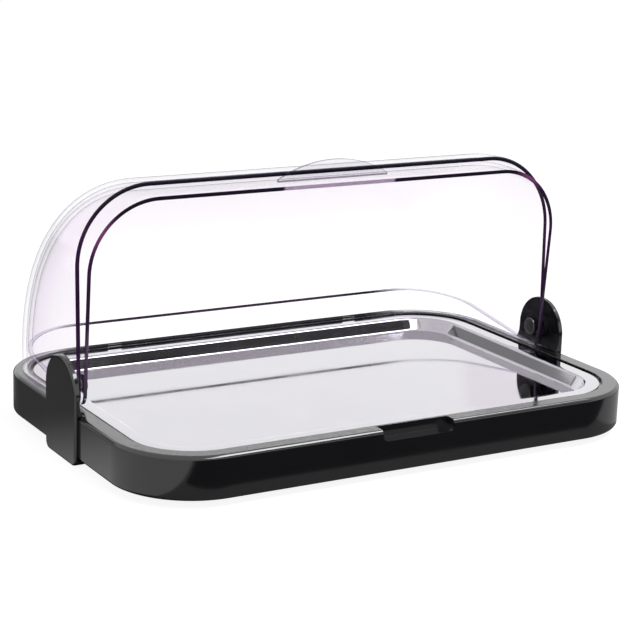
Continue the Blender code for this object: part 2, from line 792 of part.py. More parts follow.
def bracket_outline():
    """Tombstone outline in (y, z): a half circle over a straight foot with round corners."""
    half = BRACKET_WIDTH / 2
    foot = BRACKET_BOTTOM + BRACKET_FOOT_CORNER
    inner = half - BRACKET_FOOT_CORNER
    points = arc_points((BRACKET_Y, BRACKET_ROUND_Z), half, 0, math.pi, 18)
    points += arc_points((BRACKET_Y - inner, foot), BRACKET_FOOT_CORNER, math.pi, 1.5 * math.pi, 4)
    points += arc_points((BRACKET_Y + inner, foot), BRACKET_FOOT_CORNER, 1.5 * math.pi, 2 * math.pi, 4)
    return points


def across_plate(name, points, low, high, into):
    """An outline in (x, z), extruded along Y between two places."""
    mesh = plate_mesh(name, points, high - low, into)
    mesh.transform(Matrix(((1, 0, 0, 0), (0, 0, -1, (low + high) / 2), (0, 1, 0, 0), (0, 0, 0, 1))))
    return mesh


def upper_room_outline(low, top):
    """Room between the hoods and the bracket's upper plate, which flares out where it stands on the rim."""
    floor = BASE_TOP + GAP
    face = bracket_upper_face()
    flare = [
        (face - BRACKET_FLARE_WIDTH * (1 - math.sin(angle)),
         floor + BRACKET_FLARE_HEIGHT * (1 - math.cos(angle)))
        for angle in (step * math.pi / 2 / 6 for step in range(7))
    ]
    return [(low, floor), *flare, (face, top), (low, top)]


def build_bracket(name, side, parts, cutters, mat):
    """A hinge bracket: a plate on the side of the base, flared where it stands on the rim, with a lip under
    the wall and a boss round the pin. It is worked out for the right side and turned over for the left."""
    outer = BASE_LENGTH / 2 + BRACKET_PROUD
    wall_face = BASE_LENGTH / 2 + GAP
    upper_face = bracket_upper_face()
    hood_face = REAR_HALF_LENGTH + GAP
    low = hood_face - 2 * BRACKET_EDGE
    outside = low - OVERRUN
    near = BRACKET_Y - BRACKET_WIDTH / 2 - OVERRUN
    far = BRACKET_Y + BRACKET_WIDTH / 2 + OVERRUN
    top = BRACKET_ROUND_Z + BRACKET_WIDTH / 2 + OVERRUN
    mirror = Matrix.Diagonal((side, 1, 1, 1))

    def on_side(mesh):
        mesh.transform(mirror)
        if side < 0:
            mesh.flip_normals()
        return mesh

    mesh = on_side(standing_plate(name, bracket_outline(), low, outer, cutters, BRACKET_EDGE))
    bracket = add_object(name, mesh, parts, mat)
    smooth(mesh)

    def tool(tool_name, tool_mesh, operation):
        made = as_cutter(add_object(f"{name}_{tool_name}", on_side(tool_mesh), cutters))
        boolean(bracket, made, operation)

    room = across_plate("upper_room", upper_room_outline(outside, top), near, far, cutters)
    tool("upper_room", room, "DIFFERENCE")
    wall_room = box_mesh("wall_room", (outside, near, WALL_BOTTOM - GAP), (wall_face, far, BASE_TOP + GAP))
    tool("wall_room", wall_room, "DIFFERENCE")
    lip_end = BASE_LENGTH / 2 - BRACKET_LIP
    lip_room = box_mesh("lip_end", (outside, near, BRACKET_BOTTOM - OVERRUN), (lip_end, far, WALL_BOTTOM))
    tool("lip_end", lip_room, "DIFFERENCE")
    boss = rod_mesh("boss", BOSS_RADIUS, (hood_face, PIVOT_Y, PIVOT_Z), (upper_face + GAP, PIVOT_Y, PIVOT_Z))
    tool("boss", boss, "UNION")
    tool("pin_hole", rod_mesh(
        "pin_hole", PIN_RADIUS + PIN_HOLE_CLEARANCE / 2,
        (hood_face - OVERRUN, PIVOT_Y, PIVOT_Z), (upper_face + PIN_DEPTH_IN_BRACKET + GAP, PIVOT_Y, PIVOT_Z),
    ), "DIFFERENCE")
    hole_end = BASE_LENGTH / 2 - WALL_SIDE_THICKNESS + BRACKET_SCREW_LENGTH
    for index, (y, z) in enumerate(bracket_screw_places()):
        tool(f"screw_hole_{index}", rod_mesh(
            "screw_hole", SCREW_RADIUS + SCREW_HOLE_CLEARANCE / 2,
            (wall_face - OVERRUN, y, z), (hole_end, y, z), SMALL_SIDES,
        ), "DIFFERENCE")
    return bracket


def build_pin(name, side, parts, cutters, mat):
    """A pivot pin: a round head inside the hoods and a shank through both ears into the bracket."""
    inner = FRONT_HALF_LENGTH - FRONT_WALL - GAP
    tip = bracket_upper_face() + PIN_DEPTH_IN_BRACKET
    edge = PIN_HEAD_THICKNESS / 3
    profile = [
        (0, tip - inner),
        (PIN_RADIUS - edge, tip - inner),
        (PIN_RADIUS, tip - inner - edge),
        (PIN_RADIUS, 0),
        (PIN_HEAD_RADIUS, 0),
        (PIN_HEAD_RADIUS, -PIN_HEAD_THICKNESS + edge),
        (PIN_HEAD_RADIUS - edge, -PIN_HEAD_THICKNESS),
        (0, -PIN_HEAD_THICKNESS),
    ]
    mesh = turned_mesh(name, profile, ROUND_SIDES, cutters)
    smooth(mesh)
    pin = add_object(name, mesh, parts, mat)
    pin.matrix_world = Matrix.Translation((side * inner, PIVOT_Y, PIVOT_Z)) @ Matrix.Rotation(
        side * math.pi / 2, 4, "Y"
    )
    return pin


def build_screws(parts, cutters, mat):
    for index, (x, y) in enumerate(pan_screw_places()):
        place = Matrix.Translation((x, y, PAN_BOTTOM - GAP))
        add_screw(f"pan_screw_{index + 1}", SCREW_LENGTH, place, parts, cutters, mat)
    for name, side in (("left", -1), ("right", 1)):
        head_face = side * (BASE_LENGTH / 2 - WALL_SIDE_THICKNESS - GAP)
        for index, (y, z) in enumerate(bracket_screw_places()):
            place = Matrix.Translation((head_face, y, z)) @ Matrix.Rotation(side * math.pi / 2, 4, "Y")
            add_screw(
                f"bracket_screw_{name}_{index + 1}", BRACKET_SCREW_LENGTH, place, parts, cutters, mat
            )


def main():
    clear_scene()
    parts = collection("buffet_display_dome")
    cutters = collection("cutters")

    black = material("black_gloss_plastic", (0.012, 0.012, 0.014), roughness=0.16)
    steel = material("polished_steel", (0.80, 0.79, 0.80), metallic=1.0, roughness=0.08)
    clear = material("clear_hood_plastic", (0.90, 0.88, 0.97), roughness=0.03, transmission=1.0, alpha=0.35)
    rubber = material("foot_rubber", (0.03, 0.03, 0.03), roughness=0.8)
    pack = material("cold_pack_plastic", (0.42, 0.62, 0.80), roughness=0.45)
    plug = material("pack_plug_plastic", (0.85, 0.88, 0.90), roughness=0.4)
    zinc = material("screw_steel", (0.55, 0.55, 0.56), metallic=1.0, roughness=0.35)

    build_base(parts, cutters, black)
    build_pan(parts, cutters, black)
    build_feet(parts, cutters, rubber)
    build_tray(parts, steel)
    build_packs(parts, cutters, pack, plug)
    build_rear_hood(parts, cutters, clear)
    build_front_hood(parts, cutters, clear)
    for name, side in (("left", -1), ("right", 1)):
        build_bracket(f"hinge_bracket_{name}", side, parts, cutters, black)
        build_pin(f"pivot_pin_{name}", side, parts, cutters, black)
    build_screws(parts, cutters, zinc)
    bpy.context.view_layer.update()


main()
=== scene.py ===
"""Looks of the buffet display dome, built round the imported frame. Metres, in the frame of the CAD."""

import math

import bmesh
import bpy
from mathutils import Matrix, Vector


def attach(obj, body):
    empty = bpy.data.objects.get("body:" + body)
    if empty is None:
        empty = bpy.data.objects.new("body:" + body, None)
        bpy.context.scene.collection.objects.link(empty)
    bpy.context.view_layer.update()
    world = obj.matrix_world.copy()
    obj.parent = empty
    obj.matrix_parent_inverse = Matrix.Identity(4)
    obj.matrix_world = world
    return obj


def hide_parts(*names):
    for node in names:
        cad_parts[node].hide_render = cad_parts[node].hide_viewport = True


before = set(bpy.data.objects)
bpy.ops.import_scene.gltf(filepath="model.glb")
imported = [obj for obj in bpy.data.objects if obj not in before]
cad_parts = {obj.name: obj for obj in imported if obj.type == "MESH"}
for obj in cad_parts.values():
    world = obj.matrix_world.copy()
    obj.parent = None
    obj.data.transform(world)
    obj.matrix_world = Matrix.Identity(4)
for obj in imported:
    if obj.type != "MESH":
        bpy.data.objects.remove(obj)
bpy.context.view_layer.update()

# --------------------------------------------------------------------------------------------------
# Sizes of the real pieces, the same as in the CAD
# --------------------------------------------------------------------------------------------------

GAP = 0.0003
OVERRUN = 0.002
QUARTER = math.pi / 2

BASE_LENGTH = 0.425
BASE_DEPTH = 0.290
BASE_CORNER = 0.061
BASE_TOP = 0.0376
WALL_BOTTOM = 0.0055
BASE_WALL = 0.0025
RIM_WIDTH = 0.013
LEDGE_WIDTH = 0.006
SKIRT_DEPTH = 0.008
BOTTOM_ROUND = 0.0028
WALL_SIDE_THICKNESS = 0.003
NOTCH_WIDTH = 0.060
NOTCH_DEPTH = 0.0085
NOTCH_CORNER = 0.0045
NOTCH_LINING = 0.0022

TRAY_SHEET = 0.0008
TRAY_SUNK = 0.0012
TRAY_SIDE_GAP = 0.0025
TRAY_LAND = 0.0095
TRAY_DEPTH = 0.010
TRAY_SLOPE = 0.0055
TRAY_BEND = 0.0014

PIVOT_Y = -0.0049
PIVOT_Z = 0.0549
REAR_HALF_LENGTH = 0.2062
REAR_RADIUS = 0.1444
REAR_CORNER = 0.0582
REAR_WALL = 0.0032
REAR_RIM_ANGLE = math.radians(91.6)
REAR_RIM_OFFSET = 0.0065
FRONT_HALF_LENGTH = 0.2024
FRONT_RADIUS = 0.1384
FRONT_CORNER = 0.0540
FRONT_WALL = 0.003
FRONT_RIM_ANGLE = math.radians(85.5)
FRONT_RIM_OFFSET = 0.0099
FRONT_BACK_ANGLE = math.radians(172.0)
FRONT_BACK_OFFSET = 0.0154
EAR_ROUND = 0.0105
LUG_WIDTH = 0.012
LUG_DROP = 0.0045
LUG_SPACING = 0.220

TAB_CHORD = 0.095
TAB_HEIGHT = 0.013
TAB_PLINTH = 0.0018
TAB_THICKNESS = 0.0025
TAB_ROOT = 0.0015
TAB_SETBACK = 0.0105

BRACKET_WIDTH = 0.054
BRACKET_Y = -0.0015
BRACKET_ROUND_Z = 0.050
BRACKET_PROUD = 0.0027
BRACKET_THICKNESS = 0.0042
BRACKET_EDGE = 0.0018
BRACKET_BOTTOM = 0.0005
BRACKET_FOOT_CORNER = 0.006
BRACKET_LIP = 0.006
BRACKET_FLARE_WIDTH = 0.0038
BRACKET_FLARE_HEIGHT = 0.010
BOSS_RADIUS = 0.010

PIN_RADIUS = 0.004
PIN_HEAD_RADIUS = 0.007
PIN_HEAD_THICKNESS = 0.0016
PIN_DEPTH_IN_BRACKET = 0.0025
PIN_HOLE_CLEARANCE = 0.0003

# Fineness of the meshes
WELD = 0.00001
ROD_SIDES = 64
TURNED_SIDES = 72
BASE_CORNER_STEPS = 28
BASE_EDGE_STEPS = 4
BASE_BOTTOM_STEPS = 8
SMALL_CORNER_STEPS = 12
TRAY_BEND_STEPS = 6
HOOD_ARC_STEP = math.radians(1.5)
HOOD_CORNER_STEPS = 24
EAR_STEPS = 16
TAB_ARC_STEPS = 48
TAB_EDGE_STEPS = 2
BRACKET_ARC_STEPS = 72
BRACKET_EDGE_STEPS = 5
FLARE_STEPS = 18
PIN_EDGE_STEPS = 6
BREAK_SEGMENTS = 2

# Small roundings that only the looks have
EDGE_BREAK = 0.0004
BASE_EDGE_BREAK = 1.5 * EDGE_BREAK
BRACKET_EDGE_BREAK = 2 * EDGE_BREAK
TOP_CHAMFER = 0.0020
CHAMFER_SOFTNESS = 0.45
CHAMFER_TURN = 0.75
TRAY_BEND_DROP = TRAY_BEND / 3
TRAY_BEND_REACH = 1.3 * TRAY_BEND
PIN_HEAD_EDGE = PIN_HEAD_THICKNESS / 3
PIN_RING_RADIUS = PIN_HEAD_RADIUS * 0.72
PIN_DISH = PIN_HEAD_THICKNESS * 0.35

# Edges sharper than these angles, in degrees, are rounded off, or stay sharp in the shading
BREAK_ANGLE = 50
HOOD_BREAK_ANGLE = 55
SHARP_ANGLE = 32
THIN_WALL_SHARP_ANGLE = 40
STRAIGHT_ANGLE = math.radians(179.5)
NORMAL_WEIGHT = 80

# Places of the finishes on the hoods and on the brackets. Beside its cut edge a hood takes the finish of the
# edge, with its painted shade and light, over the width of a band, because the edge shows through the wall
# there
EDGE_SLOT = 1
FADING_SLOT = 2
TAB_SLOT = 3
TAB_SIDE_SLOT = 4
EDGE_BAND = 0.0012
FADING_BAND = 1.5 * EDGE_BAND
TAB_FACE_NORMAL = 0.9
SATIN_SLOT = 1
SATIN_NORMAL = -0.7

# What the clear walls let through, from seen straight on (0) to edge on (1), and the least and most they
# mirror. The two ends come first
CLEAR_TINTS = (
    (0, (0.999, 0.999, 0.999)),
    (1, (0.58, 0.57, 0.64)),
    (0.20, (0.999, 0.998, 0.999)),
    (0.50, (0.981, 0.969, 0.983)),
    (0.80, (0.988, 0.982, 0.992)),
    (0.93, (0.945, 0.94, 0.96)),
)
CLEAR_SHINE = (0.003, 0.30)
SHINE_COLOUR = (0.97, 0.96, 0.98)
SHINE_ROUGHNESS = 0.03
SHINE_STEEPNESS = 6.5

# The same for the cut edges where caught light is painted on. They fade from painted dark shade on the back
# of a hood to a pale painted highlight at its ends, which also mirrors more, between two distances from its
# middle.
# At the front hood's right ear this painted highlight goes up to a distance from the pivot
PALE_TINTS = (
    (0, (0.84, 0.83, 0.88)),
    (1, (0.66, 0.65, 0.72)),
)
PALE_SHINE = (0.16, 0.42)
BRIGHT_SHINE = (0.50, 0.70)
PALE_FROM = 0.125
PALE_TO = 0.168
PALE_EAR = 0.020

# The grip tab: its faces, its narrow side, the line along its root and the rim of the hood under it
TAB_TINTS = (
    (0, (0.997, 0.995, 0.998)),
    (1, (0.60, 0.58, 0.66)),
)
TAB_SHINE = (0.006, 0.30)
TAB_SIDE_TINTS = (
    (0, (0.60, 0.59, 0.62)),
    (1, (0.45, 0.44, 0.48)),
)
ROOT_TINTS = (
    (0, (0.36, 0.31, 0.36)),
    (1, (0.25, 0.22, 0.27)),
)
GRIP_TINTS = (
    (0, (0.40, 0.31, 0.42)),
    (1, (0.30, 0.24, 0.33)),
)
ROOT_LINE = 0.0006
ROOT_FADE = 0.3 * ROOT_LINE
GRIP_FADE = 0.003

# Colours painted on the cut edges for the light trapped in them: painted shade, nearly black at the top and
# the bottom, painted purple light between two fades along their height, painted pink glints round a place in
# each of two bends
EDGE_BLACK = (0.015, 0.011, 0.028)
EDGE_PURPLE = (0.080, 0.022, 0.095)
EDGE_PINK_GLINT = (0.30, 0.085, 0.26)
EDGE_PURPLE_FADES = ((0.045, 0.065), (0.195, 0.150))
EDGE_PURPLE_PATCHES = (0.15, 1.0)
PINK_GLINT_PLACES = (((-0.193, -0.0239, 0.167), 0.020), ((0.176, -0.0250, 0.185), 0.018))
EDGE_SPECULAR = 0.6
EDGE_ROUGHNESS = 0.12

# Noise, as (scale, detail), with the part of its range that is used. Bumps, as (scale of their noise,
# strength, depth, detail of their noise)
PATCH_NOISE = (14, 1.0)
GRAIN_DETAIL = 3.0
NOISE_RANGE = (0.3, 0.7)
BUMP_DETAIL = 2.0
CLEAR_BUMPS = (9, 0.02, 0.0006, 1.0)
EDGE_BUMPS = (60, 0.05, 0.0004, 1.0)

# Light: what the background gives off as light, the shade of the floor and its glow where it is seen
CLEAR_LAYERS = 48
WORLD_LIGHT = 0.42
WORLD_SEEN = 1.0
FLOOR_REACH = 6.0
FLOOR_SHADE = (0.28, 0.28, 0.28)
FLOOR_GLOW = 0.90
WHITE = (1, 1, 1, 1)

# Cards just above the floor: how far they reach, and how far from the base they begin
CARD_HEIGHT = 0.0006
CARD_REACH = 2.0
CARD_SIDE = BASE_LENGTH / 2 + 0.004
CARD_FRONT = BASE_DEPTH / 2 + 0.036
CARD_BACK = BASE_DEPTH / 2 + 0.11
FRONT_CARD_END = -0.21


# --------------------------------------------------------------------------------------------------
# Camera, fitted to the photograph's 640 x 640 frame, without lens shift
# --------------------------------------------------------------------------------------------------

CAMERA_PLACE = Vector((-0.72456, -1.22071, 0.45131))
CAMERA_YAW = 0.5362
CAMERA_PITCH = 0.2559
CAMERA_ROLL = 0.0316
CAMERA_CLIP = (0.01, 30.0)
FOCAL_PIXELS = 1908
FRAME_PIXELS = 640
SENSOR_WIDTH = 36.0


def make_camera():
    data = bpy.data.cameras.new("camera")
    data.sensor_width = SENSOR_WIDTH
    data.lens = FOCAL_PIXELS / FRAME_PIXELS * SENSOR_WIDTH
    data.clip_start, data.clip_end = CAMERA_CLIP
    ahead_of_camera = Vector((
        math.sin(CAMERA_YAW) * math.cos(CAMERA_PITCH),
        math.cos(CAMERA_YAW) * math.cos(CAMERA_PITCH),
        -math.sin(CAMERA_PITCH),
    ))
    level = Vector((math.cos(CAMERA_YAW), -math.sin(CAMERA_YAW), 0))
    upward = level.cross(ahead_of_camera)
    right = level * math.cos(CAMERA_ROLL) + upward * math.sin(CAMERA_ROLL)
    up = upward * math.cos(CAMERA_ROLL) - level * math.sin(CAMERA_ROLL)
    camera = bpy.data.objects.new("camera", data)
    bpy.context.scene.collection.objects.link(camera)
    axes = Matrix((right, up, -ahead_of_camera)).transposed()
    camera.matrix_world = Matrix.Translation(CAMERA_PLACE) @ axes.to_4x4()
    bpy.context.scene.camera = camera


# --------------------------------------------------------------------------------------------------
# Mesh helpers
# --------------------------------------------------------------------------------------------------


def mesh_of(bm, name):
    bmesh.ops.recalc_face_normals(bm, faces=bm.faces)
    mesh = bpy.data.meshes.new(name)
    bm.to_mesh(mesh)
    bm.free()
    return mesh


def box_mesh(name, low, high):
    bm = bmesh.new()
    bmesh.ops.create_cube(bm, size=1.0)
    size = Vector(high) - Vector(low)
    middle = (Vector(high) + Vector(low)) / 2
    placed = Matrix.Translation(middle) @ Matrix.Diagonal((*size, 1.0))
    bmesh.ops.transform(bm, matrix=placed, verts=bm.verts)
    return mesh_of(bm, name)


def rod_mesh(name, radius, start, end):
    start, end = Vector(start), Vector(end)
    along = end - start
    turned = along.to_track_quat("Z", "Y").to_matrix().to_4x4()
    bm = bmesh.new()
    bmesh.ops.create_cone(
        bm, cap_ends=True, segments=ROD_SIDES, radius1=radius, radius2=radius, depth=along.length,
        matrix=Matrix.Translation((start + end) / 2) @ turned,
    )
    return mesh_of(bm, name)


def arc_points(centre, radius, start, end, steps):
    return [
        (centre[0] + radius * math.cos(start + (end - start) * i / steps),
         centre[1] + radius * math.sin(start + (end - start) * i / steps))
        for i in range(steps + 1)
    ]


def rounded_rectangle(length, depth, corner):
    points = []
    for turn, (side_x, side_y) in enumerate(((1, 1), (-1, 1), (-1, -1), (1, -1))):
        middle = (side_x * (length / 2 - corner), side_y * (depth / 2 - corner))
        points += arc_points(middle, corner, turn * QUARTER, (turn + 1) * QUARTER, BASE_CORNER_STEPS)
    return points


def rounded_foot(left, right, bottom, corner):
    """The two rounded lower corners of an outline, from its left side to its right side."""
    middle = bottom + corner
    points = arc_points((left + corner, middle), corner, 2 * QUARTER, 3 * QUARTER, SMALL_CORNER_STEPS)
    points += arc_points((right - corner, middle), corner, 3 * QUARTER, 4 * QUARTER, SMALL_CORNER_STEPS)
    return points


def blend_curve(start, control, end, steps):
    """Points of a smooth bend from start to end, pulled towards the corner that it rounds off."""
    made = []
    for i in range(steps + 1):
        t = i / steps
        made.append(tuple(
            (1 - t) ** 2 * a + 2 * t * (1 - t) * b + t ** 2 * c for a, b, c in zip(start, control, end)
        ))
    return made


def ring_verts(bm, length, depth, corner, inset, height):
    outline = rounded_rectangle(length - 2 * inset, depth - 2 * inset, corner - inset)
    return [bm.verts.new((x, y, height)) for x, y in outline]


def bridge(bm, first, second):
    """Faces between two rings of as many points."""
    count = len(first)
    for i in range(count):
        j = (i + 1) % count
        bm.faces.new((first[i], first[j], second[j], second[i]))


def swept_ring(name, length, depth, corner, section):
    """A closed section, in (inset, height), run round a rectangle with round corners."""
    bm = bmesh.new()
    rings = [ring_verts(bm, length, depth, corner, inset, height) for inset, height in section]
    for first, second in zip(rings, rings[1:] + rings[:1]):
        bridge(bm, first, second)
    return mesh_of(bm, name)


def plate_mesh(name, points, thickness, edge=0.0, edge_steps=0):
    """A flat outline in XY, extruded half its thickness each way along Z, with its edges rounded by edge."""
    curve = bpy.data.curves.new(name, "CURVE")
    curve.dimensions = "2D"
    spline = curve.splines.new("POLY")
    spline.points.add(len(points) - 1)
    for point, (x, y) in zip(spline.points, points):
        point.co = (x, y, 0.0, 1.0)
    spline.use_cyclic_u = True
    curve.fill_mode = "BOTH"
    curve.extrude = thickness / 2 - edge
    curve.bevel_depth = edge
    curve.bevel_resolution = edge_steps
    curve.offset = -edge
    holder = bpy.data.objects.new(name, curve)
    bpy.context.scene.collection.objects.link(holder)
    graph = bpy.context.evaluated_depsgraph_get()
    mesh = bpy.data.meshes.new_from_object(holder.evaluated_get(graph))
    bpy.data.objects.remove(holder)
    bm = bmesh.new()
    bm.from_mesh(mesh)
    bmesh.ops.remove_doubles(bm, verts=bm.verts, dist=WELD)
    bmesh.ops.recalc_face_normals(bm, faces=bm.faces)
    bm.to_mesh(mesh)
    bm.free()
    return mesh


def standing_plate(name, points, low, high, edge, edge_steps):
    """An outline in the YZ plane, extruded along X between two places."""
    mesh = plate_mesh(name, points, high - low, edge, edge_steps)
    mesh.transform(Matrix(((0, 0, 1, (low + high) / 2), (1, 0, 0, 0), (0, 1, 0, 0), (0, 0, 0, 1))))
    return mesh


def across_plate(name, points, low, high):
    """An outline in (x, z), extruded along Y between two places."""
    mesh = plate_mesh(name, points, high - low)
    mesh.transform(Matrix(((1, 0, 0, 0), (0, 0, -1, (low + high) / 2), (0, 1, 0, 0), (0, 0, 0, 1))))
    return mesh


def turned_mesh(name, profile):
    """A solid turned round Z from (radius, height) pairs that run from the axis back to the axis."""
    bm = bmesh.new()
    verts = [bm.verts.new((r, 0, z)) for r, z in profile]
    edges = [bm.edges.new(pair) for pair in zip(verts, verts[1:])]
    bmesh.ops.spin(
        bm, geom=verts + edges, cent=(0, 0, 0), axis=(0, 0, 1), angle=2 * math.pi,
        steps=TURNED_SIDES, use_merge=True,
    )
    bmesh.ops.remove_doubles(bm, verts=bm.verts, dist=WELD)
    return mesh_of(bm, name)


def object_of(name, mesh, *mats):
    obj = bpy.data.objects.new(name, mesh)
    bpy.context.scene.collection.objects.link(obj)
    for mat in mats:
        mesh.materials.append(mat)
    return obj


def bake(obj):
    """Applies the modifiers of an object."""
    graph = bpy.context.evaluated_depsgraph_get()
    mesh = bpy.data.meshes.new_from_object(
        obj.evaluated_get(graph), preserve_all_data_layers=True, depsgraph=graph
    )
    obj.modifiers.clear()
    old = obj.data
    obj.data = mesh
    bpy.data.meshes.remove(old)
    return obj


def combine(obj, operations):
    """Joins to an object, or cuts from it, each (mesh, "UNION" or "DIFFERENCE") in turn."""
    helpers = []
    for mesh, operation in operations:
        helper = bpy.data.objects.new(mesh.name, mesh)
        bpy.context.scene.collection.objects.link(helper)
        modifier = obj.modifiers.new(mesh.name, "BOOLEAN")
        modifier.solver = "EXACT"
        modifier.operation = operation
        modifier.object = helper
        helpers.append(helper)
    bake(obj)
    for helper in helpers:
        bpy.data.objects.remove(helper)
    return obj


def edge_breaker(obj, width, angle):
    """Adds the modifier that rounds off the edges that are sharper than an angle."""
    edge = obj.modifiers.new("Edge", "BEVEL")
    edge.width = width
    edge.segments = BREAK_SEGMENTS
    edge.limit_method = "ANGLE"
    edge.angle_limit = math.radians(angle)
    return edge


def smooth(obj, angle=SHARP_ANGLE):
    obj.data.shade_smooth()
    obj.data.set_sharp_from_angle(angle=math.radians(angle))
    return obj


def even_normals(obj):
    """Keeps the large faces flat where they meet rounded edges."""
    weighted = obj.modifiers.new("Weighted", "WEIGHTED_NORMAL")
    weighted.keep_sharp = True
    weighted.weight = NORMAL_WEIGHT
    return bake(obj)


def dress(obj, body, slot, *nodes):
    """Says what a piece rides on and hides the nodes that it stands for. The finish given as slot is not
    used.
    """
    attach(obj, body)
    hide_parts(*nodes)
    return obj


# --------------------------------------------------------------------------------------------------
# Materials
# --------------------------------------------------------------------------------------------------


def node(tree, kind, **settings):
    made = tree.nodes.new(kind)
    for key, value in settings.items():
        setattr(made, key, value)
    return made


def feed(tree, socket, value):
    """Gives an input a fixed value, or links the output of another node to it."""
    if isinstance(value, bpy.types.NodeSocket):
        tree.links.new(value, socket)
    else:
        socket.default_value = value


def calculated(tree, operation, *values):
    made = node(tree, "ShaderNodeMath", operation=operation)
    for socket, value in zip(made.inputs, values):
        feed(tree, socket, value)
    return made.outputs["Value"]


def vector_calculated(tree, operation, output, *values):
    made = node(tree, "ShaderNodeVectorMath", operation=operation)
    for socket, value in zip(made.inputs, values):
        feed(tree, socket, value)
    return made.outputs[output]


def object_place(tree):
    """A place in object space, whole and in its three parts."""
    place = node(tree, "ShaderNodeTexCoord")
    parts = node(tree, "ShaderNodeSeparateXYZ")
    tree.links.new(place.outputs["Object"], parts.inputs["Vector"])
    return place.outputs["Object"], parts.outputs


def noise(tree, scale, detail):
    """Noise in object space."""
    place = node(tree, "ShaderNodeTexCoord")
    texture = node(tree, "ShaderNodeTexNoise")
    texture.inputs["Scale"].default_value = scale
    texture.inputs["Detail"].default_value = detail
    tree.links.new(place.outputs["Object"], texture.inputs["Vector"])
    return texture.outputs["Fac"]


def mapped(tree, value, source, target, kind="LINEAR"):
    """Maps one range of a value to another."""
    made = node(tree, "ShaderNodeMapRange", interpolation_type=kind)
    made.inputs["From Min"].default_value, made.inputs["From Max"].default_value = source
    made.inputs["To Min"].default_value, made.inputs["To Max"].default_value = target
    tree.links.new(value, made.inputs["Value"])
    return made.outputs["Result"]


def smooth_step(tree, value, start, end):
    """Goes smoothly from 0 at start to 1 at end."""
    if start < end:
        return mapped(tree, value, (start, end), (0, 1), "SMOOTHSTEP")
    return mapped(tree, value, (end, start), (1, 0), "SMOOTHSTEP")


def tinted(tree, factor, first, second):
    """Goes from a colour, which may be the output of a node, to a second colour."""
    made = node(tree, "ShaderNodeMix", data_type="RGBA")
    feed(tree, made.inputs["A"], (*first, 1) if isinstance(first, tuple) else first)
    made.inputs["B"].default_value = (*second, 1)
    tree.links.new(factor, made.inputs["Factor"])
    return made.outputs["Result"]


def blended(tree, factor, first, second):
    """Goes from one shader to another."""
    mix = node(tree, "ShaderNodeMixShader")
    tree.links.new(factor, mix.inputs["Fac"])
    tree.links.new(first, mix.inputs[1])
    tree.links.new(second, mix.inputs[2])
    return mix.outputs["Shader"]


def bumpy(tree, shader, scale, strength, distance, detail=BUMP_DETAIL):
    """Gives a shader the bumps of a noise."""
    made = node(tree, "ShaderNodeBump")
    made.inputs["Strength"].default_value = strength
    made.inputs["Distance"].default_value = distance
    tree.links.new(noise(tree, scale, detail), made.inputs["Height"])
    tree.links.new(made.outputs["Normal"], shader.inputs["Normal"])


def principled(name, colours, rough, grain, bumps, metallic=0.0, specular=0.5):
    """A surface whose colour and roughness vary a little over a noise of a given grain, with a fine bump."""
    mat = bpy.data.materials.new(name)
    mat.use_nodes = True
    tree = mat.node_tree
    shader = tree.nodes["Principled BSDF"]
    shader.inputs["Metallic"].default_value = metallic
    shader.inputs["Specular IOR Level"].default_value = specular
    wide = noise(tree, grain, GRAIN_DETAIL)
    tree.links.new(tinted(tree, wide, *colours), shader.inputs["Base Color"])
    tree.links.new(mapped(tree, wide, NOISE_RANGE, rough), shader.inputs["Roughness"])
    bumpy(tree, shader, *bumps)
    return mat


def material_of(name, shader_made_in):
    """A material whose surface is the shader that a function makes in its tree."""
    mat = bpy.data.materials.new(name)
    mat.use_nodes = True
    tree = mat.node_tree
    tree.nodes.clear()
    out = node(tree, "ShaderNodeOutputMaterial")
    tree.links.new(shader_made_in(tree), out.inputs["Surface"])
    return mat


def clear_shader(tree, tints, shares):
    """Clear plastic: it lets light through with a faint tint that deepens where it is seen edge on, and it
    shines as plastic does."""
    layer = node(tree, "ShaderNodeLayerWeight")
    layer.inputs["Blend"].default_value = 0.5
    facing = layer.outputs["Facing"]
    ramp = node(tree, "ShaderNodeValToRGB")
    stops = ramp.color_ramp.elements
    for place, colour in tints:
        stop = stops[0] if place == 0 else stops[1] if place == 1 else stops.new(place)
        stop.color = (*colour, 1)
    tree.links.new(facing, ramp.inputs["Fac"])
    through = node(tree, "ShaderNodeBsdfTransparent")
    tree.links.new(ramp.outputs["Color"], through.inputs["Color"])
    shine = node(tree, "ShaderNodeBsdfGlossy")
    shine.inputs["Color"].default_value = (*SHINE_COLOUR, 1)
    shine.inputs["Roughness"].default_value = SHINE_ROUGHNESS
    bumpy(tree, shine, *CLEAR_BUMPS)
    share = mapped(tree, calculated(tree, "POWER", facing, SHINE_STEEPNESS), (0, 1), shares)
    return blended(tree, share, through.outputs["BSDF"], shine.outputs["BSDF"])


def edge_shader(tree):
    """The cut edge of the clear plastic, where light is trapped, painted with that shade and light: nearly
    black, with painted purple light and painted pink glints.
    """
    shader = node(tree, "ShaderNodeBsdfPrincipled")
    shader.inputs["Specular IOR Level"].default_value = EDGE_SPECULAR
    shader.inputs["Roughness"].default_value = EDGE_ROUGHNESS
    place, parts = object_place(tree)
    # painted purple light between two heights of the edges, in patches
    fades = [smooth_step(tree, parts["Z"], start, end) for start, end in EDGE_PURPLE_FADES]
    patches = mapped(tree, noise(tree, *PATCH_NOISE), NOISE_RANGE, EDGE_PURPLE_PATCHES)
    purple = calculated(tree, "MULTIPLY", calculated(tree, "MULTIPLY", *fades), patches)
    colour = tinted(tree, purple, EDGE_BLACK, EDGE_PURPLE)
    # painted pink glints round two places on the bends of the edges
    for middle, reach in PINK_GLINT_PLACES:
        distance = vector_calculated(tree, "DISTANCE", "Value", place, middle)
        colour = tinted(tree, smooth_step(tree, distance, reach, 0.0), colour, EDGE_PINK_GLINT)
    tree.links.new(colour, shader.inputs["Base Color"])
    bumpy(tree, shader, *EDGE_BUMPS)
    return shader.outputs["BSDF"]


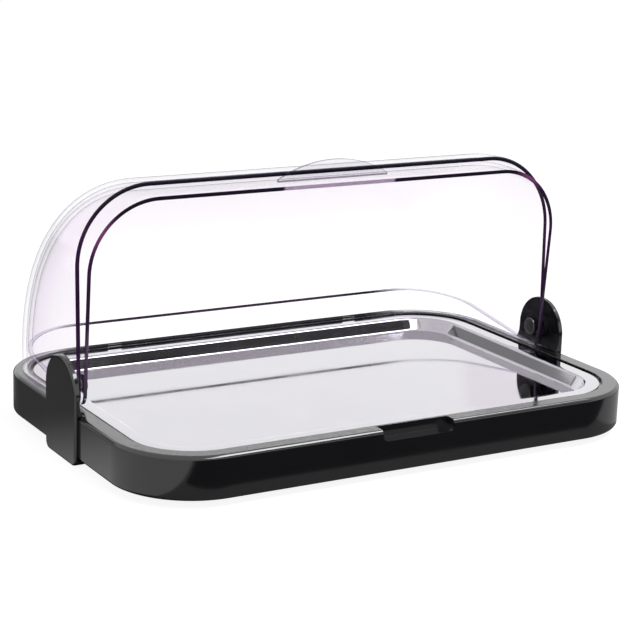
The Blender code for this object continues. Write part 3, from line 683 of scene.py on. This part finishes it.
def fading_shader(tree, tints, shares, start, end):
    """A cut edge going from painted shade to a painted pale highlight between two distances from the hood's
    middle.
    """
    aside = calculated(tree, "ABSOLUTE", object_place(tree)[1]["X"])
    pale = smooth_step(tree, aside, start, end)
    return blended(tree, pale, edge_shader(tree), clear_shader(tree, tints, shares))


def pale_shader(tree):
    return fading_shader(tree, PALE_TINTS, PALE_SHINE, PALE_FROM, PALE_TO)


def bright_shader(tree):
    return fading_shader(tree, PALE_TINTS, BRIGHT_SHINE, PALE_FROM, PALE_TO)


def grip_shader(tree):
    """The cut edge of the front hood's rim: painted dark shade, but for a pale part under the grip tab."""
    start, end = TAB_CHORD / 2 + GRIP_FADE / 2, TAB_CHORD / 2 - GRIP_FADE / 2
    return fading_shader(tree, GRIP_TINTS, CLEAR_SHINE, start, end)


def tab_shader(tree):
    """The faces of the grip tab, with a darker line where the tab stands on the hood."""
    place = object_place(tree)[0]
    from_axis = vector_calculated(tree, "SUBTRACT", "Vector", place, (0, PIVOT_Y, PIVOT_Z))
    across = vector_calculated(tree, "MULTIPLY", "Vector", from_axis, (0, 1, 1))
    distance = vector_calculated(tree, "LENGTH", "Value", across)
    line_end = FRONT_RADIUS + ROOT_LINE
    at_root = smooth_step(tree, distance, line_end + ROOT_FADE, line_end)
    face = clear_shader(tree, TAB_TINTS, TAB_SHINE)
    return blended(tree, at_root, face, clear_shader(tree, ROOT_TINTS, CLEAR_SHINE))


BLACK = principled(
    "black_gloss_plastic", colours=((0.010, 0.010, 0.012), (0.014, 0.014, 0.016)), rough=(0.09, 0.14),
    grain=14, bumps=(420, 0.04, 0.0002), specular=0.9,
)
SATIN = principled(
    "black_satin_plastic", colours=((0.008, 0.008, 0.011), (0.012, 0.012, 0.016)), rough=(0.22, 0.30),
    grain=14, bumps=(420, 0.04, 0.0002), specular=0.12,
)
STEEL = principled(
    "polished_steel", colours=((0.50, 0.49, 0.52), (0.54, 0.53, 0.56)), rough=(0.035, 0.075),
    grain=30, bumps=(7, 0.10, 0.0006), metallic=1.0,
)
CLEAR = material_of("clear_hood_plastic", lambda tree: clear_shader(tree, CLEAR_TINTS, CLEAR_SHINE))
# the cut edges' finish of painted shade and painted light
EDGE = material_of("clear_hood_edge", edge_shader)
PALE_EDGE = material_of("clear_hood_pale_edge", pale_shader)
BRIGHT_EDGE = material_of("clear_hood_bright_edge", bright_shader)
GRIP_EDGE = material_of("clear_hood_grip_edge", grip_shader)
TAB = material_of("clear_hood_tab", tab_shader)
TAB_SIDE = material_of("clear_hood_tab_side", lambda tree: clear_shader(tree, TAB_SIDE_TINTS, TAB_SHINE))
RUBBER = principled(
    "foot_rubber", colours=((0.025, 0.025, 0.025), (0.036, 0.036, 0.036)), rough=(0.70, 0.88),
    grain=90, bumps=(900, 0.2, 0.0003),
)
PACK = principled(
    "cold_pack_plastic", colours=((0.38, 0.58, 0.77), (0.46, 0.66, 0.83)), rough=(0.38, 0.52),
    grain=25, bumps=(300, 0.15, 0.0004),
)
PLUG = principled(
    "pack_plug_plastic", colours=((0.82, 0.85, 0.87), (0.88, 0.91, 0.93)), rough=(0.32, 0.45),
    grain=60, bumps=(500, 0.1, 0.0002),
)
ZINC = principled(
    "screw_steel", colours=((0.50, 0.50, 0.51), (0.60, 0.60, 0.61)), rough=(0.25, 0.42),
    grain=300, bumps=(1500, 0.15, 0.0001), metallic=1.0,
)


# --------------------------------------------------------------------------------------------------
# Base moulding
# --------------------------------------------------------------------------------------------------


def ledge_top():
    return BASE_TOP - TRAY_SUNK - TRAY_SHEET - GAP


def base_section():
    """Section of the base moulding in (inset from the outer face, height), with a soft chamfer at its top."""
    ledge = ledge_top()
    ledge_end = RIM_WIDTH + LEDGE_WIDTH
    side = WALL_SIDE_THICKNESS
    chamfer = TOP_CHAMFER
    soft = chamfer * CHAMFER_SOFTNESS
    turn = soft * CHAMFER_TURN
    low = BASE_TOP - chamfer
    steps = BASE_EDGE_STEPS
    bottom = (BOTTOM_ROUND, WALL_BOTTOM + BOTTOM_ROUND)
    rim = (RIM_WIDTH - EDGE_BREAK, BASE_TOP - EDGE_BREAK)
    section = arc_points(bottom, BOTTOM_ROUND, -QUARTER, -2 * QUARTER, BASE_BOTTOM_STEPS)
    section += blend_curve((0, low - soft), (0, low), (turn, low + turn), steps)
    section += blend_curve(
        (chamfer - turn, BASE_TOP - turn), (chamfer, BASE_TOP), (chamfer + soft, BASE_TOP), steps
    )
    section += [(RIM_WIDTH - 2 * EDGE_BREAK, BASE_TOP)]
    section += arc_points(rim, EDGE_BREAK, QUARTER, 0, steps)
    section += [
        (RIM_WIDTH, ledge),
        (ledge_end, ledge),
        (ledge_end, ledge - SKIRT_DEPTH),
        (ledge_end - BASE_WALL, ledge - SKIRT_DEPTH),
        (ledge_end - BASE_WALL, ledge - BASE_WALL),
        (RIM_WIDTH - BASE_WALL, ledge - BASE_WALL),
        (RIM_WIDTH - BASE_WALL, BASE_TOP - BASE_WALL),
        (side, BASE_TOP - BASE_WALL),
        (side, WALL_BOTTOM),
    ]
    return section


def rear_hood_reach():
    drop = PIVOT_Z - BASE_TOP - GAP
    return math.sqrt(REAR_RADIUS ** 2 - drop ** 2) - GAP


def lug_box(side, clearance, top):
    back = PIVOT_Y + rear_hood_reach()
    middle = side * LUG_SPACING / 2
    return (
        (middle - LUG_WIDTH / 2 - clearance, back - REAR_WALL - clearance, BASE_TOP - LUG_DROP - clearance),
        (middle + LUG_WIDTH / 2 + clearance, back + clearance, top),
    )


def build_base():
    shell = swept_ring("base_shell", BASE_LENGTH, BASE_DEPTH, BASE_CORNER, base_section())
    base = object_of("base_shell", shell, BLACK)
    front = -BASE_DEPTH / 2
    half = NOTCH_WIDTH / 2
    lining = box_mesh(
        "notch_lining",
        (-half - NOTCH_LINING, front + WALL_SIDE_THICKNESS / 2, BASE_TOP - NOTCH_DEPTH - NOTCH_LINING),
        (half + NOTCH_LINING, front + RIM_WIDTH - BASE_WALL / 2, BASE_TOP - BASE_WALL / 2),
    )
    top = BASE_TOP + NOTCH_CORNER
    outline = [(half, top), (-half, top)]
    outline += rounded_foot(-half, half, BASE_TOP - NOTCH_DEPTH, NOTCH_CORNER)
    notch_length = RIM_WIDTH - BASE_WALL + OVERRUN
    notch = plate_mesh("notch", outline, notch_length)
    notch.transform(
        Matrix.Translation((0, front - OVERRUN + notch_length / 2, 0)) @ Matrix.Rotation(QUARTER, 4, "X")
    )
    slots = [
        (box_mesh(f"lug_slot_{side}", *lug_box(side, GAP, BASE_TOP + OVERRUN)), "DIFFERENCE")
        for side in (-1, 1)
    ]
    combine(base, [(lining, "UNION"), (notch, "DIFFERENCE")] + slots)
    edge_breaker(base, BASE_EDGE_BREAK, BREAK_ANGLE)
    bake(base)
    smooth(base)
    even_normals(base)
    return dress(base, "base", "black_gloss_plastic", "base_frame")


# --------------------------------------------------------------------------------------------------
# Serving tray
# --------------------------------------------------------------------------------------------------


def tray_section():
    """(inset, height) of the tray's upper face, from its outer edge to its floor, with smooth bends."""
    land = BASE_TOP - TRAY_SUNK
    floor = land - TRAY_DEPTH
    run = TRAY_SLOPE / (TRAY_DEPTH - 2 * TRAY_BEND_DROP)
    upper = TRAY_LAND + TRAY_BEND - TRAY_BEND_DROP * run
    lower = TRAY_LAND + TRAY_BEND + TRAY_SLOPE + TRAY_BEND_DROP * run
    slope_length = math.hypot(1, run)
    reach = TRAY_BEND_REACH
    steps = TRAY_BEND_STEPS
    aside, down = reach * run / slope_length, reach / slope_length
    section = [(0, land), (upper - 2 * reach, land)]
    section += blend_curve((upper - reach, land), (upper, land), (upper + aside, land - down), steps)
    section += blend_curve((lower - aside, floor + down), (lower, floor), (lower + reach, floor), steps)
    section += [(lower + 2 * reach, floor)]
    return section


def build_tray():
    edge = RIM_WIDTH + TRAY_SIDE_GAP
    size = (BASE_LENGTH - 2 * edge, BASE_DEPTH - 2 * edge, BASE_CORNER - edge)
    bm = bmesh.new()
    rings = [ring_verts(bm, *size, inset, height) for inset, height in tray_section()]
    for first, second in zip(rings, rings[1:]):
        bridge(bm, first, second)
    bm.faces.new(rings[-1])
    bmesh.ops.remove_doubles(bm, verts=bm.verts, dist=WELD)
    mesh = mesh_of(bm, "tray_sheet")
    tray = object_of("tray_sheet", mesh, STEEL)
    up = sum(polygon.normal.z * polygon.area for polygon in mesh.polygons)
    sheet = tray.modifiers.new("Sheet", "SOLIDIFY")
    sheet.thickness = TRAY_SHEET
    sheet.offset = -1 if up > 0 else 1
    sheet.use_even_offset = True
    bake(tray)
    smooth(tray, THIN_WALL_SHARP_ANGLE)
    return dress(tray, "tray", "polished_steel", "tray")


# --------------------------------------------------------------------------------------------------
# Hoods
# --------------------------------------------------------------------------------------------------


def hood_profile(half_length, radius, corner):
    """Section of a hood along the pivot axis, in (x, distance from the axis)."""
    middle, height = half_length - corner, radius - corner
    left = arc_points((-middle, height), corner, 2 * QUARTER, QUARTER, HOOD_CORNER_STEPS)
    right = arc_points((middle, height), corner, QUARTER, 0, HOOD_CORNER_STEPS)
    return [(-half_length, 0)] + left + right + [(half_length, 0)]


def radial(angle):
    """Away from the pivot axis, at an angle that is counted from the front upwards."""
    return Vector((0, -math.cos(angle), math.sin(angle)))


def ahead(angle):
    """The way in which a place at that angle moves when the hood closes."""
    return Vector((0, -math.sin(angle), -math.cos(angle)))


def is_straight(vert):
    first, second = (edge.other_vert(vert).co - vert.co for edge in vert.link_edges[:2])
    return len(vert.link_edges) == 2 and first.angle(second) > STRAIGHT_ANGLE


def cut_along(bm, point, normal, clear_outer):
    bmesh.ops.bisect_plane(
        bm, geom=bm.verts[:] + bm.edges[:] + bm.faces[:], dist=WELD / 2,
        plane_co=point, plane_no=normal, clear_outer=clear_outer,
    )


def hood_surface(name, half_length, radius, corner, planes, bands):
    """The outer face of a hood, turned round the pivot axis and trimmed by planes (point, normal). Along the
    trims in bands it takes the finish of the cut edge, with its painted shade and light, over EDGE_BAND."""
    bm = bmesh.new()
    verts = [bm.verts.new((x, -r, 0)) for x, r in hood_profile(half_length, radius, corner)]
    edges = [bm.edges.new(pair) for pair in zip(verts, verts[1:])]
    bmesh.ops.spin(
        bm, geom=verts + edges, cent=(0, 0, 0), axis=(-1, 0, 0), angle=2 * math.pi,
        steps=round(2 * math.pi / HOOD_ARC_STEP), use_merge=True,
    )
    bmesh.ops.remove_doubles(bm, verts=bm.verts, dist=WELD)
    for point, normal in planes:
        cut_along(bm, point, normal, True)
    bmesh.ops.recalc_face_normals(bm, faces=bm.faces)
    for side in (-1, 1):
        end = side * half_length
        flat = [face for face in bm.faces if all(abs(vert.co.x - end) < WELD for vert in face.verts)]
        bmesh.ops.dissolve_faces(bm, faces=flat, use_verts=False)
    near = [
        vert for vert in bm.verts
        if abs(abs(vert.co.x) - half_length) < WELD and vert.co.yz.length < radius - corner - WELD
    ]
    bmesh.ops.dissolve_verts(bm, verts=[vert for vert in near if is_straight(vert)])
    ears = [vert for vert in near if vert.is_valid]
    bmesh.ops.bevel(
        bm, geom=ears, offset=EAR_ROUND, offset_type="OFFSET", segments=EAR_STEPS, profile=0.5,
        affect="VERTICES",
    )
    outward = sum(face.normal.dot(face.calc_center_median()) for face in bm.faces)
    if outward < 0:
        bmesh.ops.reverse_faces(bm, faces=bm.faces)
    for point, normal in bands:
        inside = point - normal * EDGE_BAND
        cut_along(bm, inside, normal, False)
        for face in bm.faces:
            if (face.calc_center_median() - inside).dot(normal) > 0:
                face.material_index = EDGE_SLOT
    bmesh.ops.translate(bm, verts=bm.verts, vec=(0, PIVOT_Y, PIVOT_Z))
    mesh = bpy.data.meshes.new(name)
    bm.to_mesh(mesh)
    bm.free()
    return mesh


def hood(name, mesh, wall, edge_mat):
    """The wall of a hood. Its cut edges have their own finish, painted shade and light, and are a little
    rounded.
    """
    made = object_of(name, mesh, CLEAR, edge_mat)
    shell = made.modifiers.new("Wall", "SOLIDIFY")
    shell.thickness = wall
    shell.offset = -1
    shell.use_even_offset = True
    shell.material_offset_rim = EDGE_SLOT
    edge_breaker(made, EDGE_BREAK, HOOD_BREAK_ANGLE).material = EDGE_SLOT
    return bake(made)


def fade_edge(made, plane, mat, with_ear):
    """Gives the cut edge along a plane, and if asked the right ear's, a finish that fades to a painted
    highlight.
    """
    point, normal = plane
    made.data.materials.append(mat)
    for face in made.data.polygons:
        place = face.center - Vector((0, PIVOT_Y, PIVOT_Z))
        at_edge = (place - point).dot(normal) > -FADING_BAND
        # painted highlight on the right ear's edge near the pivot
        at_ear = with_ear and place.x > 0 and place.yz.length < PALE_EAR
        if face.material_index == EDGE_SLOT and (at_edge or at_ear):
            face.material_index = FADING_SLOT


def pivot_rod(name, radius, start, end):
    """A rod on the pivot axis between two places along X."""
    return rod_mesh(name, radius, (start, PIVOT_Y, PIVOT_Z), (end, PIVOT_Y, PIVOT_Z))


def ear_holes(half_length, wall):
    radius = PIN_RADIUS + PIN_HOLE_CLEARANCE
    inner, outer = half_length - wall - OVERRUN, half_length + OVERRUN
    return [
        (pivot_rod(f"ear_hole_{side}", radius, side * inner, side * outer), "DIFFERENCE")
        for side in (-1, 1)
    ]


def build_rear_hood():
    floor = Vector((0, 0, BASE_TOP + GAP - PIVOT_Z))
    planes = [
        (ahead(REAR_RIM_ANGLE) * REAR_RIM_OFFSET, ahead(REAR_RIM_ANGLE)),
        (floor, Vector((0, 0, -1))),
    ]
    mesh = hood_surface("rear_shell", REAR_HALF_LENGTH, REAR_RADIUS, REAR_CORNER, planes, planes[1:])
    made = hood("rear_shell", mesh, REAR_WALL, EDGE)
    fade_edge(made, planes[1], BRIGHT_EDGE, False)
    lugs = [
        (box_mesh(f"lug_{side}", *lug_box(side, 0, BASE_TOP + REAR_WALL)), "UNION") for side in (-1, 1)
    ]
    combine(made, lugs + ear_holes(REAR_HALF_LENGTH, REAR_WALL))
    smooth(made, THIN_WALL_SHARP_ANGLE)
    return dress(made, "base", "clear_hood_plastic", "rear_hood")


def tab_angle():
    rim = FRONT_RIM_ANGLE - math.asin(FRONT_RIM_OFFSET / FRONT_RADIUS)
    return rim + (TAB_SETBACK + TAB_THICKNESS / 2) / FRONT_RADIUS


def grip_tab():
    """The half-moon tab, in its place on the front hood."""
    circle = (TAB_CHORD ** 2 / 4 + TAB_HEIGHT ** 2) / (2 * TAB_HEIGHT)
    half_turn = math.asin(TAB_CHORD / 2 / circle)
    middle = (0, TAB_PLINTH + TAB_HEIGHT - circle)
    arc = arc_points(middle, circle, QUARTER - half_turn, QUARTER + half_turn, TAB_ARC_STEPS)
    outline = arc + [(-TAB_CHORD / 2, -TAB_ROOT), (TAB_CHORD / 2, -TAB_ROOT)]
    tab = plate_mesh("grip_tab", outline, TAB_THICKNESS, EDGE_BREAK, TAB_EDGE_STEPS)
    for face in tab.polygons:
        face.material_index = TAB_SLOT if abs(face.normal.z) > TAB_FACE_NORMAL else TAB_SIDE_SLOT
    place = Matrix.Translation(Vector((0, PIVOT_Y, PIVOT_Z)) + radial(tab_angle()) * FRONT_RADIUS)
    tab.transform(place @ Matrix.Rotation(math.pi - tab_angle(), 4, "X"))
    return tab


def build_front_hood():
    planes = [
        (ahead(FRONT_RIM_ANGLE) * FRONT_RIM_OFFSET, ahead(FRONT_RIM_ANGLE)),
        (-ahead(FRONT_BACK_ANGLE) * FRONT_BACK_OFFSET, -ahead(FRONT_BACK_ANGLE)),
    ]
    mesh = hood_surface("front_shell", FRONT_HALF_LENGTH, FRONT_RADIUS, FRONT_CORNER, planes, planes[1:])
    made = hood("front_shell", mesh, FRONT_WALL, GRIP_EDGE)
    fade_edge(made, planes[1], PALE_EDGE, True)
    made.data.materials.append(TAB)
    made.data.materials.append(TAB_SIDE)
    combine(made, [(grip_tab(), "UNION")] + ear_holes(FRONT_HALF_LENGTH, FRONT_WALL))
    smooth(made, THIN_WALL_SHARP_ANGLE)
    return dress(made, "front_hood", "clear_hood_plastic", "front_hood")


# --------------------------------------------------------------------------------------------------
# Hinge brackets and pivot pins
# --------------------------------------------------------------------------------------------------


def bracket_upper_face():
    return BASE_LENGTH / 2 + BRACKET_PROUD - BRACKET_THICKNESS


def bracket_outline():
    half = BRACKET_WIDTH / 2
    points = arc_points((BRACKET_Y, BRACKET_ROUND_Z), half, 0, math.pi, BRACKET_ARC_STEPS)
    points += rounded_foot(BRACKET_Y - half, BRACKET_Y + half, BRACKET_BOTTOM, BRACKET_FOOT_CORNER)
    return points


def build_bracket(name, side):
    outer = BASE_LENGTH / 2 + BRACKET_PROUD
    wall_face = BASE_LENGTH / 2 + GAP
    upper_face = bracket_upper_face()
    hood_face = REAR_HALF_LENGTH + GAP
    low = hood_face - 2 * BRACKET_EDGE
    outside = low - OVERRUN
    near = BRACKET_Y - BRACKET_WIDTH / 2 - OVERRUN
    far = BRACKET_Y + BRACKET_WIDTH / 2 + OVERRUN
    top = BRACKET_ROUND_Z + BRACKET_WIDTH / 2 + OVERRUN
    floor = BASE_TOP + GAP
    flare = []
    for step in range(FLARE_STEPS + 1):
        angle = step * QUARTER / FLARE_STEPS
        inward = BRACKET_FLARE_WIDTH * (1 - math.sin(angle))
        flare.append((upper_face - inward, floor + BRACKET_FLARE_HEIGHT * (1 - math.cos(angle))))
    room = [(outside, floor), *flare, (upper_face, top), (outside, top)]
    under = (outside, near, BRACKET_BOTTOM - OVERRUN)
    lip_end = (BASE_LENGTH / 2 - BRACKET_LIP, far, WALL_BOTTOM)
    hole_end = upper_face + PIN_DEPTH_IN_BRACKET + GAP
    hole_radius = PIN_RADIUS + PIN_HOLE_CLEARANCE / 2
    operations = [
        (across_plate("upper_room", room, near, far), "DIFFERENCE"),
        (box_mesh("wall_room", (outside, near, WALL_BOTTOM - GAP), (wall_face, far, floor)), "DIFFERENCE"),
        (box_mesh("lip_end", under, lip_end), "DIFFERENCE"),
        (pivot_rod("boss", BOSS_RADIUS, hood_face, upper_face + GAP), "UNION"),
        (pivot_rod("pin_hole", hole_radius, hood_face - OVERRUN, hole_end), "DIFFERENCE"),
    ]
    piece_name = f"bracket_cover_{name}"
    plate = standing_plate(piece_name, bracket_outline(), low, outer, BRACKET_EDGE, BRACKET_EDGE_STEPS)
    bracket = object_of(piece_name, plate, BLACK)
    combine(bracket, operations)
    edge_breaker(bracket, BRACKET_EDGE_BREAK, BREAK_ANGLE)
    bake(bracket)
    bracket.data.materials.append(SATIN)
    for face in bracket.data.polygons:
        if face.normal.x < SATIN_NORMAL:
            face.material_index = SATIN_SLOT
    bracket.data.transform(Matrix.Diagonal((side, 1, 1, 1)))
    if side < 0:
        bracket.data.flip_normals()
    smooth(bracket)
    even_normals(bracket)
    return dress(bracket, "base", "black_gloss_plastic", f"hinge_bracket_{name}")


def build_pin(name, side):
    inner = FRONT_HALF_LENGTH - FRONT_WALL - GAP
    length = bracket_upper_face() + PIN_DEPTH_IN_BRACKET - inner
    edge, ring, dish = PIN_HEAD_EDGE, PIN_RING_RADIUS, PIN_DISH
    face = -PIN_HEAD_THICKNESS
    profile = [(0, length), (PIN_RADIUS - edge, length), (PIN_RADIUS, length - edge), (PIN_RADIUS, 0)]
    profile += [(PIN_HEAD_RADIUS, 0)]
    profile += arc_points((PIN_HEAD_RADIUS - edge, face + edge), edge, 0, -QUARTER, PIN_EDGE_STEPS)
    profile += [(ring + dish / 2, face), (ring, face + dish / 3)]
    profile += [(ring - dish / 2, face + dish), (0, face + dish)]
    mesh = turned_mesh(f"pin_turned_{name}", profile)
    mesh.transform(
        Matrix.Translation((side * inner, PIVOT_Y, PIVOT_Z)) @ Matrix.Rotation(side * QUARTER, 4, "Y")
    )
    pin = object_of(f"pin_turned_{name}", mesh, BLACK)
    smooth(pin)
    return dress(pin, "base", "black_gloss_plastic", f"pivot_pin_{name}")


# --------------------------------------------------------------------------------------------------
# Nodes of the CAD that stay as they are, with their finishes
# --------------------------------------------------------------------------------------------------

KEPT = {
    "base_pan": BLACK,
    "foot_": RUBBER,
    "cold_pack_": PACK,
    "pack_plug_": PLUG,
    "pan_screw_": ZINC,
    "bracket_screw_": ZINC,
}


def finish_kept_nodes():
    for name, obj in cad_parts.items():
        for start, mat in KEPT.items():
            if not name.startswith(start):
                continue
            for place in obj.material_slots:
                place.material = mat
            if not obj.material_slots:
                obj.data.materials.append(mat)


# --------------------------------------------------------------------------------------------------
# Floor, light and background
# --------------------------------------------------------------------------------------------------


def seen_by(tree, mirrored):
    """1 for the rays that show the background: seen directly, through clear things or, if asked, mirrored."""
    rays = node(tree, "ShaderNodeLightPath").outputs
    seen = calculated(tree, "MAXIMUM", rays["Is Camera Ray"], rays["Is Transmission Ray"])
    if mirrored:
        seen = calculated(tree, "MAXIMUM", seen, rays["Is Glossy Ray"])
    return seen


def glow_shader(tree, strength):
    glow = node(tree, "ShaderNodeEmission")
    glow.inputs["Color"].default_value = WHITE
    feed(tree, glow.inputs["Strength"], strength)
    return glow.outputs["Emission"]


def floor_shader(tree):
    """Grey to the light, so that it throws little of it back, and bright where it is seen."""
    matt = node(tree, "ShaderNodeBsdfDiffuse")
    matt.inputs["Color"].default_value = (*FLOOR_SHADE, 1)
    both = node(tree, "ShaderNodeAddShader")
    tree.links.new(matt.outputs["BSDF"], both.inputs[0])
    glow = glow_shader(tree, calculated(tree, "MULTIPLY", seen_by(tree, False), FLOOR_GLOW))
    tree.links.new(glow, both.inputs[1])
    return both.outputs["Shader"]


def card_shader(tree, shade, places):
    if places:
        shade = mapped(tree, object_place(tree)[1]["Y"], places, shade, "SMOOTHSTEP")
    return glow_shader(tree, shade)


def make_world():
    world = bpy.data.worlds.new("world")
    bpy.context.scene.world = world
    world.use_nodes = True
    tree = world.node_tree
    background = tree.nodes["Background"]
    background.inputs["Color"].default_value = WHITE
    strength = mapped(tree, seen_by(tree, True), (0, 1), (WORLD_LIGHT, WORLD_SEEN))
    tree.links.new(strength, background.inputs["Strength"])


def sheet_mesh(name, corners):
    mesh = bpy.data.meshes.new(name)
    mesh.from_pydata(corners, [], [tuple(range(len(corners)))])
    return mesh


def level_corners(left, right, near, far, height):
    return [(left, near, height), (right, near, height), (right, far, height), (left, far, height)]


def make_floor():
    mesh = sheet_mesh("floor", level_corners(-FLOOR_REACH, FLOOR_REACH, -FLOOR_REACH, FLOOR_REACH, 0))
    floor = object_of("floor", mesh, material_of("floor", floor_shader))


def make_lamp(name, place, aim, size, radiance):
    """A soft square lamp whose face shines with a given radiance."""
    data = bpy.data.lights.new(name, "AREA")
    data.shape = "RECTANGLE"
    data.size, data.size_y = size
    data.energy = radiance * size[0] * size[1] * math.pi
    lamp = bpy.data.objects.new(name, data)
    bpy.context.scene.collection.objects.link(lamp)
    place, aim = Vector(place), Vector(aim)
    turned = (aim - place).to_track_quat("-Z", "Y").to_matrix().to_4x4()
    lamp.matrix_world = Matrix.Translation(place) @ turned
    lamp.visible_camera = False
    lamp.visible_transmission = False


def dark_card(name, corners, shade, places=None):
    """A card that the camera doesn't see, and that the gloss of the pieces mirrors. Its shade is even, or
    goes from one value to another between two places along Y."""
    mat = material_of(name, lambda tree: card_shader(tree, shade, places))
    card = object_of(name, sheet_mesh(name, corners), mat)
    card.visible_camera = False
    card.visible_diffuse = False
    card.visible_transmission = False
    card.visible_volume_scatter = False
    card.visible_shadow = False


def floor_card(name, x_range, y_range, shade, places=None):
    dark_card(name, level_corners(*x_range, *y_range, CARD_HEIGHT), shade, places)


def make_light():
    """Two soft lamps, and cards that stand in for the dark and grey things round the photographed dome."""
    make_lamp("top_softbox", place=(0.45, -0.62, 1.25), aim=(0, -0.10, 0.03), size=(1.5, 0.30), radiance=9.0)
    make_lamp("back_softbox", place=(0.7, 2.2, 0.85), aim=(0, 0, 0.05), size=(3.4, 1.5), radiance=0.3)
    side, front, back, far = CARD_SIDE, CARD_FRONT, CARD_BACK, CARD_REACH
    floor_card("floor_card_front", (FRONT_CARD_END, far), (-far, -front), shade=0.02)
    floor_card("floor_card_back", (-far, far), (back, far), shade=0.04)
    floor_card("floor_card_right", (side, far), (-front, back), shade=0.50)
    floor_card("floor_card_left", (-far, -side), (-far, back), shade=(0.70, 0.14), places=(-0.08, 0.11))
    dark_card("room_card", [
        (0.25, -1.42, 1.0), (1.7, -1.42, 1.0), (1.7, -1.13, 1.9), (0.25, -1.13, 1.9),
    ], shade=0.06)
    dark_card("side_card", [
        (-1.7, 2.0, 0.45), (-0.9, 2.0, 0.45), (-0.9, 2.0, 1.2), (-1.7, 2.0, 1.2),
    ], shade=0.32)


scene = bpy.context.scene
scene.view_settings.view_transform = "Standard"
scene.cycles.transparent_max_bounces = CLEAR_LAYERS
make_camera()
make_world()
make_floor()
make_light()
build_base()
build_tray()
build_rear_hood()
build_front_hood()
for bracket_name, bracket_side in (("left", -1), ("right", 1)):
    build_bracket(bracket_name, bracket_side)
    build_pin(bracket_name, bracket_side)
finish_kept_nodes()
